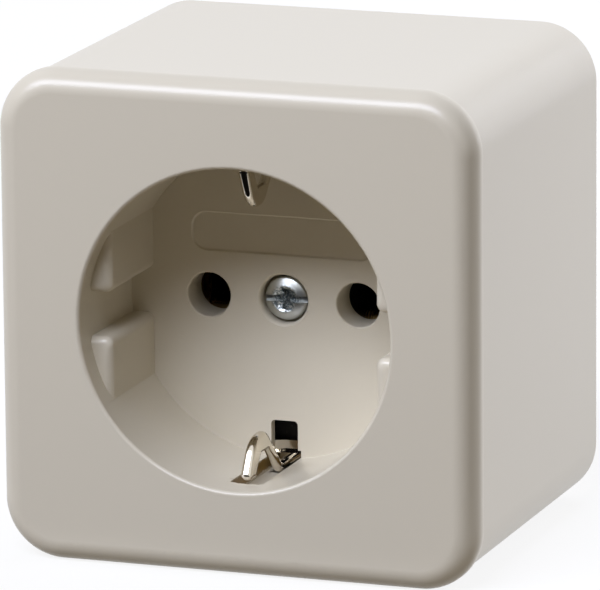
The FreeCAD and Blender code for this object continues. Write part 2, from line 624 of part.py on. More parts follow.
def domed_top(shape, depth):
    """A head in the middle of the well whose front is a dome that reaches a depth."""
    return shape.common(Part.makeSphere(HEAD_DOME_RADIUS, point(0, depth + HEAD_DOME_RADIUS, 0)))


def chamfered_top(shape, depth):
    """A head whose front edge at a depth is broken."""
    return shape.makeChamfer(HEAD_CHAMFER, edges_at_depth(shape, depth))


def screw(x, z, seat, tip, head_radius, head_height, slots, eased):
    """A screw whose head stands on a seat, with an eased edge and slots of given lengths and angles."""
    top = seat - head_height
    head = eased(rod(head_radius, x, z, top, seat), top)
    half = SCREW_SLOT / 2
    for length, angle in slots:
        slot = block(x - length / 2, x + length / 2, top - CUT, top + SCREW_SLOT_DEPTH, z - half, z + half)
        slot.rotate(point(x, top, z), FreeCAD.Vector(0, 1, 0), angle)
        head = head.cut(slot)
    return fuse([head, rod(SHANK_RADIUS, x, z, seat - SCREW_SLOT_DEPTH / 2, tip)])


def rivet(x, z, seat, bed):
    """A rivet with a head in front of a seat and a set head behind a bed."""
    front = seat - RIVET_HEAD_HEIGHT
    back = bed + RIVET_HEAD_HEIGHT
    head = chamfered_top(rod(RIVET_HEAD_RADIUS, x, z, front, seat), front)
    tail = rod(RIVET_HEAD_RADIUS, x, z, bed, back)
    root = RIVET_HEAD_HEIGHT / 2
    return fuse([head, rod(RIVET_RADIUS, x, z, seat - root, bed + root), tail])


def cover_screw():
    """The screw in the middle of the well, threaded into the earth bracket, with a slot and a cross."""
    slots = [(2 * COVER_HEAD_RADIUS + CUT, 0), (SCREW_CROSS_LENGTH, 90)]
    tip = EARTH_STRIP_BACK + COVER_SCREW_TIP
    return screw(0, 0, COVER_HEAD_SEAT, tip, COVER_HEAD_RADIUS, COVER_HEAD_HEIGHT, slots, domed_top)


def terminal_screw(x, z, seat):
    """A slotted terminal screw that presses a clamp onto a terminal at a depth."""
    slots = [(2 * TERMINAL_HEAD_RADIUS + CUT, 0)]
    tip = DECK + TERMINAL_TIP
    head_seat = seat - CLAMP_THICKNESS
    return screw(x, z, head_seat, tip, TERMINAL_HEAD_RADIUS, TERMINAL_HEAD_HEIGHT, slots, chamfered_top)


def terminal_set(pole, x, rise, seat):
    """The clamps and the pair of screws of one pole, by node name."""
    screws = [terminal_screw(x, end * rise, seat) for end in (-1, 1)]
    return {
        f"{pole}_clamp_upper": clamp(x, rise, seat),
        f"{pole}_clamp_lower": clamp(x, -rise, seat),
        f"{pole}_terminal_screws": Part.makeCompound(screws),
    }


def fixing_screw(end):
    """A screw that holds the block to a post of the box."""
    slots = [(2 * FIXING_HEAD_RADIUS + CUT, 0)]
    x = end * POST_X
    z = end * POST_Z
    return screw(x, z, FIXING_SEAT, FIXING_TIP, FIXING_HEAD_RADIUS, FIXING_HEAD_HEIGHT, slots, chamfered_top)


def assembly():
    """Every piece of the socket by node name."""
    contact = fork_contact()
    spring = fork_spring()
    contact_bed = DECK + CONTACT_RIVET_BED
    parts = {
        "front_cover": front_cover(),
        "housing_box": housing_box(),
        "cover_screw": cover_screw(),
        "socket_base": socket_base(),
        "line_contact": contact,
        "neutral_contact": mirror_x(contact),
        "line_contact_spring": spring,
        "neutral_contact_spring": mirror_x(spring),
        "earth_bracket": earth_bracket(),
        "contact_rivets": Part.makeCompound(
            [rivet(side * TERMINAL_X, 0, CONTACT_FRONT, contact_bed) for side in (-1, 1)]
        ),
        "earth_bracket_rivets": Part.makeCompound(
            [rivet(0, end * EARTH_RIVET_RISE, BASE_FRONT, EARTH_STRIP_BACK) for end in (-1, 1)]
        ),
        "base_fixing_screws": Part.makeCompound([fixing_screw(end) for end in (-1, 1)]),
    }
    parts.update(terminal_set("line", TERMINAL_X, TERMINAL_RISE, CONTACT_FRONT))
    parts.update(terminal_set("neutral", -TERMINAL_X, TERMINAL_RISE, CONTACT_FRONT))
    parts.update(terminal_set("earth", 0, EARTH_TERMINAL_RISE, DECK))
    return parts


def main():
    """Write one STEP file for each piece."""
    os.makedirs("parts", exist_ok=True)
    for name, shape in assembly().items():
        shape.exportStep(f"parts/{name}.step")
        solids = len(shape.Solids)
        print(f"{name}: {solids} solid(s), {shape.Volume:.1f} mm3, valid {shape.isValid()}")


main()
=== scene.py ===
import logging
import math
from collections.abc import Callable, Sequence
from dataclasses import dataclass
from enum import Enum
from functools import cache
from typing import Any

import bmesh
import bpy
from mathutils import Matrix, Vector


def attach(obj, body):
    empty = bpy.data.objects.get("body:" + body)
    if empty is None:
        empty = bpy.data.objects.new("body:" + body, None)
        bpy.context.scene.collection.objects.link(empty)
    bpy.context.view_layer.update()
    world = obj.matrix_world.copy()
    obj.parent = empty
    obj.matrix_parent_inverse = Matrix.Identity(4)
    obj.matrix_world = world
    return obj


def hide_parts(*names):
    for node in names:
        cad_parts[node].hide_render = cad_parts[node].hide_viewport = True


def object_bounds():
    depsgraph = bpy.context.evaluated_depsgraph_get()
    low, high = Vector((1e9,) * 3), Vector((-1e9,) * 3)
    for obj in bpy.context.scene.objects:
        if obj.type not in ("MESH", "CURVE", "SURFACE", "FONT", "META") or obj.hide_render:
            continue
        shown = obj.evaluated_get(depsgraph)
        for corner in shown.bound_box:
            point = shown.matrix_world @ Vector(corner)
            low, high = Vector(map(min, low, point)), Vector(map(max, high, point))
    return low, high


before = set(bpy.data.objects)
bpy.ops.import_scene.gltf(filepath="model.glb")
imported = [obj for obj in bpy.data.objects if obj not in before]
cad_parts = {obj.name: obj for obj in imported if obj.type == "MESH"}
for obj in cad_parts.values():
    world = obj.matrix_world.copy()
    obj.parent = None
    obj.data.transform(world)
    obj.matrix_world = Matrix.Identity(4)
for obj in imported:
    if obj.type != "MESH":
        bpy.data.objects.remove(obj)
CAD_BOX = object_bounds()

# The looks of a surface-mounted earthed socket, type F, in metres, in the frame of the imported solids.
# +Z is up, +X is to the right and the front faces -Y. A depth is a distance behind the front plane.

LOG = logging.getLogger("socket")
BODY = "root"
FRONT_Y = CAD_BOX[0].y
HALF_WIDTH = CAD_BOX[1].x
TOTAL_DEPTH = CAD_BOX[1].y - CAD_BOX[0].y
SHARP_ANGLE = math.radians(32)
MERGE_DISTANCE = 1e-7
NOISE_MIDDLE = 0.5
# How far a tool runs past the faces that it cuts.
PAST = 0.001

Points = list[Vector]
Pair = tuple[float, float]
Corner = tuple[float, float, float]
Colour = tuple[float, float, float]


class Cut(Enum):
    """What a tool does to the piece that it meets."""

    JOIN = "UNION"
    REMOVE = "DIFFERENCE"


class Slot(Enum):
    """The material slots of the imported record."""

    COVER = "cover_plastic"
    BOX = "box_plastic"
    NICKEL = "nickel_plate"
    BRASS = "brass_sheet"
    SCREW = "screw_steel"


def at(x: float, depth: float, z: float) -> Vector:
    """The place in the frame of a point given by its depth behind the front plane."""
    return Vector((x, FRONT_Y + depth, z))


class Term:
    """A socket of a node tree, with operators that add Math nodes."""

    def __init__(self, maker: "NodeMaker", socket: bpy.types.NodeSocket) -> None:
        """Keep the socket and the maker of its tree."""
        self.maker = maker
        self.socket = socket

    def math(self, operation: str, *others: Any) -> "Term":
        """A Math node on this value and others, which are numbers or terms."""
        values = dict(enumerate((self, *others)))
        return self.maker.add("ShaderNodeMath", {"operation": operation}, values)

    def clamped(self) -> "Term":
        """This value held between 0 and 1."""
        return self.math("MAXIMUM", 0.0).math("MINIMUM", 1.0)

    def __add__(self, other: Any) -> "Term":
        """This value plus another."""
        return self.math("ADD", other)

    def __radd__(self, other: Any) -> "Term":
        """Another value plus this one."""
        return self.math("ADD", other)

    def __sub__(self, other: Any) -> "Term":
        """This value less another."""
        return self.math("SUBTRACT", other)

    def __rsub__(self, other: Any) -> "Term":
        """Another value less this one."""
        return self * -1.0 + other

    def __mul__(self, other: Any) -> "Term":
        """This value times another."""
        return self.math("MULTIPLY", other)

    def __rmul__(self, other: Any) -> "Term":
        """Another value times this one."""
        return self.math("MULTIPLY", other)

    def __truediv__(self, other: Any) -> "Term":
        """This value divided by another."""
        return self.math("DIVIDE", other)

    def __rtruediv__(self, other: Any) -> "Term":
        """Another value divided by this one."""
        return self.math("POWER", -1.0) * other


class NodeMaker:
    """Adds nodes to one tree."""

    def __init__(self, tree: bpy.types.NodeTree) -> None:
        """Keep the tree."""
        self.tree = tree

    def add(
        self,
        kind: str,
        settings: dict[str, Any] | None = None,
        sockets: dict[str | int, Any] | None = None,
        output: str | int = 0,
    ) -> Term:
        """A new node.

        Args:
            kind: the node's type.
            settings: its properties, which are set first.
            sockets: values, terms or lists of terms for its inputs, by name or number.
            output: the output that the returned term stands for.

        Returns:
            The chosen output of the node.
        """
        node = self.tree.nodes.new(kind)
        for name, value in (settings or {}).items():
            setattr(node, name, value)
        for name, value in (sockets or {}).items():
            for item in value if isinstance(value, list) else [value]:
                if isinstance(item, Term):
                    self.tree.links.new(item.socket, node.inputs[name])
                else:
                    node.inputs[name].default_value = item
        return Term(self, node.outputs[output]) if node.outputs else None

    def output_of(self, term: Term, name: str | int) -> Term:
        """Another output of the node that a term comes from."""
        return Term(self, term.socket.node.outputs[name])

    def mix(self, share: Any, first: Any, second: Any) -> Term:
        """A colour between two.

        Args:
            share: how far towards the second, from 0 to 1.
            first: the colour at 0, a term or a colour.
            second: the colour at 1, a term or a colour.

        Returns:
            The mixed colour.
        """
        ends = [c if isinstance(c, Term) else (*c, 1.0) for c in (first, second)]
        sockets = {0: share, 6: ends[0], 7: ends[1]}
        return self.add("ShaderNodeMix", {"data_type": "RGBA"}, sockets, 2)

    def noise(self, place: Term, scale: float, detail: float = 3.0) -> Term:
        """Even noise about 0.5 whose lumps are about 1/scale metres wide, with octaves of finer lumps."""
        return self.add("ShaderNodeTexNoise", None, {"Vector": place, "Scale": scale, "Detail": detail})


class ShaderMaker(NodeMaker):
    """Adds the nodes of one material and closes it with a Principled shader."""

    def __init__(self, name: str) -> None:
        """Start an empty material.

        Args:
            name: the name of the material.
        """
        self.material = bpy.data.materials.new(name)
        self.material.use_nodes = True
        super().__init__(self.material.node_tree)
        self.tree.nodes.clear()

    def place(self) -> Term:
        """Object coordinates, in metres."""
        return self.add("ShaderNodeTexCoord", None, None, "Object")

    def stretched(self, scale: tuple[float, float, float]) -> Term:
        """Object coordinates squeezed by a scale along each axis."""
        return self.add("ShaderNodeMapping", None, {"Vector": self.place(), "Scale": scale})

    def bump(self, height: Term, distance: float) -> Term:
        """A normal tilted by a height map, in which 1 stands for a distance in metres."""
        sockets = {"Height": height, "Distance": distance, "Strength": 1.0}
        return self.add("ShaderNodeBump", None, sockets)

    def close(self, sockets: dict[str, Any]) -> bpy.types.Material:
        """Join a Principled shader to the output.

        Args:
            sockets: the shader's inputs by name.

        Returns:
            The material.
        """
        surface = self.add("ShaderNodeBsdfPrincipled", None, sockets)
        self.add("ShaderNodeOutputMaterial", None, {"Surface": surface})
        return self.material


@dataclass(frozen=True)
class MouldedPlastic:
    """Glossy moulded plastic: a soft mottle, faint flow of the melt and a very fine skin."""

    name: str
    colour: Colour
    shade: Colour
    roughness: float
    mottle_scale: float = 700.0
    flow_scale: float = 45.0
    skin_scale: float = 3200.0
    flow_detail: float = 1.0
    skin_detail: float = 2.0
    skin_height: float = 1.5e-6
    flow_height: float = 1.5e-6
    blotch: float = 0.02

    def make(self) -> bpy.types.Material:
        """Build the material.

        Returns:
            The material.
        """
        maker = ShaderMaker(self.name)
        place = maker.place()
        mottle = maker.noise(place, self.mottle_scale)
        flow = maker.noise(place, self.flow_scale, self.flow_detail)
        skin = maker.noise(place, self.skin_scale, self.skin_detail)
        colour = self.with_painted_shade(maker, place, maker.mix(mottle, self.shade, self.colour))
        height = skin * self.skin_height + flow * self.flow_height
        return maker.close(
            {
                "Base Color": colour,
                "Roughness": self.roughness + (mottle - NOISE_MIDDLE) * self.blotch,
                "Normal": maker.bump(height, 1.0),
            }
        )

    def with_painted_shade(self, maker: ShaderMaker, place: Term, colour: Term) -> Term:
        """The colour with its painted shade, of which plain plastic has none."""
        return colour


@dataclass(frozen=True)
class ShadePaintedPlastic(MouldedPlastic):
    """Moulded plastic with brown painted shade in the channel of the lower earth tongue, ragged at its
    edge.
    """

    # Brown painted shade: the colour is darkened in the channel of the lower earth tongue, where shade
    # falls.
    painted_shade: Colour = (0.27, 0.17, 0.05)
    painted_shade_half: float = 0.0030
    painted_shade_start: float = 0.0040
    painted_shade_middle: float = -0.0202
    painted_shade_reach: float = 0.0008
    painted_shade_fade: float = 0.0002
    painted_shade_scale: float = 1500.0
    painted_shade_rag: float = 0.0008

    def with_painted_shade(self, maker: ShaderMaker, place: Term, colour: Term) -> Term:
        """The colour with the painted shade laid over it.

        Args:
            maker: the maker of the material's nodes.
            place: the coordinates.
            colour: the colour of the plastic without its painted shade.

        Returns:
            The colour that is seen.
        """
        parts = maker.add("ShaderNodeSeparateXYZ", None, {0: place})
        rag = (maker.noise(place, self.painted_shade_scale) - NOISE_MIDDLE) * self.painted_shade_rag
        inside = (
            self.painted_shade_half - maker.output_of(parts, 0).math("ABSOLUTE"),
            maker.output_of(parts, 1) - (FRONT_Y + self.painted_shade_start),
            self.painted_shade_reach - (maker.output_of(parts, 2) - self.painted_shade_middle).math("ABSOLUTE"),
        )
        least = inside[0].math("MINIMUM", inside[1]).math("MINIMUM", inside[2])
        # The share of painted shade, full inside the channel and ragged by noise at its edge.
        share = ((least + rag) / self.painted_shade_fade).clamped()
        return maker.mix(share, colour, self.painted_shade)


@dataclass(frozen=True)
class PlatedMetal:
    """Plated or bare sheet metal with drawn lines along its length and a little tarnish."""

    name: str
    colour: Colour
    tarnish: Colour
    roughness: float
    lines: tuple[float, float, float] = (9000.0, 500.0, 500.0)
    line_detail: float = 2.0
    line_height: float = 2.0e-6
    line_blur: float = 0.08
    tarnish_scale: float = 260.0
    tarnish_detail: float = 4.0
    tarnish_blur: float = 0.12

    def make(self) -> bpy.types.Material:
        """Build the material.

        Returns:
            The material.
        """
        maker = ShaderMaker(self.name)
        lines = maker.noise(maker.stretched(self.lines), 1.0, self.line_detail)
        tarnish = maker.noise(maker.place(), self.tarnish_scale, self.tarnish_detail)
        dulled = self.roughness + (tarnish - NOISE_MIDDLE) * self.tarnish_blur
        return maker.close(
            {
                "Base Color": maker.mix(tarnish, self.colour, self.tarnish),
                "Metallic": 1.0,
                "Roughness": dulled + (lines - NOISE_MIDDLE) * self.line_blur,
                "Normal": maker.bump(lines, self.line_height),
            }
        )


@dataclass(frozen=True)
class BittenSteel:
    """Zinc-plated steel, dull and pitted round the middle of the head where drivers have bitten it."""

    name: str
    colour: Colour
    pit: Colour
    roughness: float
    pit_roughness: float
    pit_scale: float = 3600.0
    pit_level: float = 0.42
    pit_contrast: float = 7.0
    pit_reach: float = 0.0019
    pit_fade: float = 0.0005
    pit_height: float = 6.0e-5

    def make(self) -> bpy.types.Material:
        """Build the material.

        Returns:
            The material.
        """
        maker = ShaderMaker(self.name)
        place = maker.place()
        parts = maker.add("ShaderNodeSeparateXYZ", None, {0: place})
        across = maker.output_of(parts, 0)
        up = maker.output_of(parts, 2)
        radius = (across * across + up * up).math("SQRT")
        bitten = ((self.pit_reach - radius) / self.pit_fade).clamped()
        pits = maker.noise(place, self.pit_scale)
        sunk = ((pits - self.pit_level) * self.pit_contrast).clamped()
        share = sunk * bitten
        return maker.close(
            {
                "Base Color": maker.mix(share, self.colour, self.pit),
                "Metallic": 1.0,
                "Roughness": self.roughness + share * (self.pit_roughness - self.roughness),
                "Normal": maker.bump(pits * bitten, self.pit_height),
            }
        )


@dataclass(frozen=True)
class PressedBlock:
    """Dark pressed thermoset with pale specks of filler and a dull skin."""

    name: str
    colour: Colour
    speck: Colour
    roughness: float
    speck_scale: float = 1800.0
    speck_detail: float = 2.0
    speck_level: float = 0.62
    speck_contrast: float = 6.0
    speck_blur: float = 0.2
    skin_height: float = 1.0e-5

    def make(self) -> bpy.types.Material:
        """Build the material.

        Returns:
            The material.
        """
        maker = ShaderMaker(self.name)
        place = maker.place()
        specks = maker.noise(place, self.speck_scale, self.speck_detail)
        share = ((specks - self.speck_level) * self.speck_contrast).clamped()
        return maker.close(
            {
                "Base Color": maker.mix(share, self.colour, self.speck),
                "Roughness": self.roughness + (specks - NOISE_MIDDLE) * self.speck_blur,
                "Normal": maker.bump(specks, self.skin_height),
            }
        )


# The cover's plastic carries brown painted shade in the channel of the lower earth tongue.
COVER_PLASTIC = ShadePaintedPlastic("cover_plastic", (0.655, 0.600, 0.482), (0.650, 0.595, 0.478), 0.287)
BOX_PLASTIC = MouldedPlastic("box_plastic", (0.655, 0.602, 0.490), (0.650, 0.597, 0.486), 0.30)
BLOCK_PLASTIC = PressedBlock("block_plastic", (0.018, 0.017, 0.016), (0.10, 0.09, 0.08), 0.55)
NICKEL_PLATE = PlatedMetal("nickel_plate", (0.80, 0.76, 0.68), (0.66, 0.60, 0.50), 0.06)
BRASS_SHEET = PlatedMetal("brass_sheet", (0.80, 0.60, 0.27), (0.62, 0.42, 0.17), 0.26)
SPRING_STEEL = PlatedMetal("spring_steel", (0.42, 0.43, 0.45), (0.28, 0.27, 0.27), 0.32)
CLAMP_STEEL = PlatedMetal("clamp_steel", (0.66, 0.68, 0.70), (0.52, 0.53, 0.52), 0.30)
SCREW_STEEL = PlatedMetal("screw_steel", (0.56, 0.59, 0.60), (0.42, 0.44, 0.44), 0.26)
HEAD_STEEL = BittenSteel("head_steel", (0.60, 0.62, 0.61), (0.15, 0.18, 0.19), 0.31, 0.50)


@cache
def material_of(finish: MouldedPlastic | PlatedMetal | BittenSteel | PressedBlock) -> bpy.types.Material:
    """The one material of a finish."""
    return finish.make()


class Outline:
    """Rings of points that all have the same number of points, so that any two can be lofted."""

    SIDE_STEPS = 24
    CORNER_STEPS = 20
    CIRCLE_CORNER = 0.25

    @classmethod
    def square(cls, half: float, corner: float, depth: float) -> Points:
        """A square with rounded corners.

        Args:
            half: half of its width.
            corner: the radius of its corners.
            depth: its depth behind the front plane.

        Returns:
            The ring.
        """
        flat = half - corner
        quarter = [(half, flat * (2 * i / cls.SIDE_STEPS - 1)) for i in range(cls.SIDE_STEPS)]
        for i in range(cls.CORNER_STEPS):
            turn = math.pi / 2 * i / cls.CORNER_STEPS
            quarter.append((flat + corner * math.cos(turn), flat + corner * math.sin(turn)))
        ring = []
        for _ in range(4):
            ring += [at(x, depth, z) for x, z in quarter]
            quarter = [(-z, x) for x, z in quarter]
        return ring

    @classmethod
    def circle(cls, radius: float, depth: float) -> Points:
        """A circle whose points lie at the angles of the points of a rounded square."""
        turns = [math.atan2(p.z, p.x) for p in cls.square(1.0, cls.CIRCLE_CORNER, 0.0)]
        return [at(radius * math.cos(t), depth, radius * math.sin(t)) for t in turns]

    @staticmethod
    def quarter(steps: int) -> list[Pair]:
        """Sine and cosine of the angles from 0 to 90 degrees."""
        turns = [math.pi / 2 * i / steps for i in range(steps + 1)]
        return [(math.sin(t), math.cos(t)) for t in turns]

    @staticmethod
    def rounded(corners: Sequence[Corner], steps: int = 8) -> list[Pair]:
        """A polygon with rounded corners.

        Args:
            corners: each corner's two coordinates and its radius.
            steps: the number of steps round a corner.

        Returns:
            The points of the polygon.
        """
        found = []
        for i, (u, v, radius) in enumerate(corners):
            here = Vector((u, v))
            if radius == 0:
                found.append((u, v))
                continue
            back = (Vector(corners[i - 1][:2]) - here).normalized()
            ahead = (Vector(corners[(i + 1) % len(corners)][:2]) - here).normalized()
            half = back.angle(ahead) / 2
            middle = here + (back + ahead).normalized() * (radius / math.sin(half))
            first = here + back * (radius / math.tan(half)) - middle
            last = here + ahead * (radius / math.tan(half)) - middle
            sweep = math.pi - 2 * half
            for step in range(steps + 1):
                share = step / steps
                spread = first * math.sin((1 - share) * sweep) + last * math.sin(share * sweep)
                place = middle + spread / math.sin(sweep)
                found.append((place.x, place.y))
        return found


class Workshop:
    """Makes, joins, cuts and finishes meshes."""

    @staticmethod
    def piece(name: str, builder: bmesh.types.BMesh) -> bpy.types.Object:
        """Turn a built mesh into an object whose faces point outwards.

        Args:
            name: the name of the object.
            builder: the mesh, which is freed.

        Returns:
            The object.
        """
        bmesh.ops.remove_doubles(builder, verts=builder.verts, dist=MERGE_DISTANCE)
        bmesh.ops.recalc_face_normals(builder, faces=builder.faces)
        mesh = bpy.data.meshes.new(name)
        builder.to_mesh(mesh)
        builder.free()
        made = bpy.data.objects.new(name, mesh)
        bpy.context.scene.collection.objects.link(made)
        return made

    @classmethod
    def loft(cls, name: str, rings: Sequence[Points]) -> bpy.types.Object:
        """A closed solid through rings of points, with flat ends.

        Args:
            name: the name of the object.
            rings: the rings in order.

        Returns:
            The object.
        """
        builder = bmesh.new()
        rows = [[builder.verts.new(p) for p in ring] for ring in rings]
        for row, following in zip(rows, rows[1:]):
            for i in range(len(row)):
                j = (i + 1) % len(row)
                builder.faces.new((row[i], row[j], following[j], following[i]))
        builder.faces.new(rows[0])
        builder.faces.new(rows[-1])
        return cls.piece(name, builder)

    @classmethod
    def prism(cls, name: str, outline: Points, run: Vector) -> bpy.types.Object:
        """A closed solid between an outline and its copy some way along."""
        return cls.loft(name, [outline, [p + run for p in outline]])

    @classmethod
    def block(cls, name: str, half: float, depths: Pair, heights: Pair) -> bpy.types.Object:
        """A plain box about the middle plane x = 0.

        Args:
            name: the name of the object.
            half: half its width.
            depths: the depths where it starts and ends.
            heights: the heights where it starts and ends.

        Returns:
            The object.
        """
        start, end = depths
        low, high = heights
        plan = [(-half, low), (half, low), (half, high), (-half, high)]
        return cls.prism(name, [at(x, start, z) for x, z in plan], Vector((0, end - start, 0)))

    @classmethod
    def lathe(
        cls, name: str, profile: Sequence[Pair], x: float = 0.0, z: float = 0.0, steps: int = 72
    ) -> bpy.types.Object:
        """A turned solid whose axis runs front to back.

        Args:
            name: the name of the object.
            profile: pairs of radius and depth from one end to the other.
            x: where the axis is across.
            z: where the axis is in height.
            steps: the number of steps round.

        Returns:
            The object.
        """
        rings = []
        for radius, depth in profile:
            turns = [2 * math.pi * i / steps for i in range(steps)]
            rings.append([at(x + radius * math.cos(t), depth, z + radius * math.sin(t)) for t in turns])
        return cls.loft(name, rings)

    @staticmethod
    def soften(
        made: bpy.types.Object, chosen: Callable[[bmesh.types.BMEdge], bool], width: float, steps: int = 5
    ) -> None:
        """Round some edges of a piece.

        Args:
            made: the piece.
            chosen: says whether an edge is rounded.
            width: the width of the rounding.
            steps: the number of steps across it.
        """
        builder = bmesh.new()
        builder.from_mesh(made.data)
        edges = [e for e in builder.edges if chosen(e)]
        bmesh.ops.bevel(
            builder,
            geom=edges,
            offset=width,
            segments=steps,
            profile=0.5,
            affect="EDGES",
            clamp_overlap=False,
        )
        builder.to_mesh(made.data)
        builder.free()

    @staticmethod
    def bake(made: bpy.types.Object) -> None:
        """Turn a piece and its modifiers into a plain mesh.

        Args:
            made: the piece.
        """
        graph = bpy.context.evaluated_depsgraph_get()
        old = made.data
        mesh = bpy.data.meshes.new_from_object(made.evaluated_get(graph))
        made.modifiers.clear()
        made.data = mesh
        mesh.name = made.name
        bpy.data.meshes.remove(old)

    @staticmethod
    def discard(made: bpy.types.Object) -> None:
        """Delete a tool that has done its work.

        Args:
            made: the tool.
        """
        mesh = made.data
        bpy.data.objects.remove(made)
        bpy.data.meshes.remove(mesh)

    @classmethod
    def together(cls, tools: Sequence[bpy.types.Object]) -> bpy.types.Object:
        """Gather several tools in one object.

        Args:
            tools: the tools, which are deleted.

        Returns:
            The object that holds them all.
        """
        builder = bmesh.new()
        for tool in tools:
            builder.from_mesh(tool.data)
        for tool in tools:
            cls.discard(tool)
        return cls.piece("tools", builder)

    @classmethod
    def work(cls, made: bpy.types.Object, tools: Sequence[bpy.types.Object], cut: Cut) -> None:
        """Join tools to a piece or remove them from it.

        Args:
            made: the piece.
            tools: closed solids, which are deleted afterwards.
            cut: whether they are joined or removed.
        """
        tool = cls.together(tools)
        modifier = made.modifiers.new("work", "BOOLEAN")
        modifier.operation = cut.value
        modifier.solver = "EXACT"
        modifier.object = tool
        cls.bake(made)
        cls.discard(tool)

    @classmethod
    def finish(cls, made: bpy.types.Object, material: bpy.types.Material) -> None:
        """Smooth the round faces of a piece, keep its edges sharp and give it a material.

        Args:
            made: the piece.
            material: its material.
        """
        mesh = made.data
        builder = bmesh.new()
        builder.from_mesh(mesh)
        bmesh.ops.remove_doubles(builder, verts=builder.verts, dist=MERGE_DISTANCE)
        bmesh.ops.dissolve_degenerate(builder, dist=MERGE_DISTANCE, edges=builder.edges)
        builder.to_mesh(mesh)
        builder.free()
        mesh.shade_smooth()
        mesh.set_sharp_from_angle(angle=SHARP_ANGLE)
        modifier = made.modifiers.new("normals", "WEIGHTED_NORMAL")
        modifier.keep_sharp = True
        cls.bake(made)
        made.data.materials.clear()
        made.data.materials.append(material)


def hand_over(made: bpy.types.Object, slot: Slot, *nodes: str) -> None:
    """Fix a finished piece to the body and let it stand for its nodes.

    Args:
        made: the piece.
        slot: the record's material slot; not used.
        nodes: the CAD nodes that it replaces.
    """
    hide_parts(*nodes)
    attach(made, BODY)
    LOG.info("%s: %d faces, stands for %s", made.name, len(made.data.polygons), ", ".join(nodes))


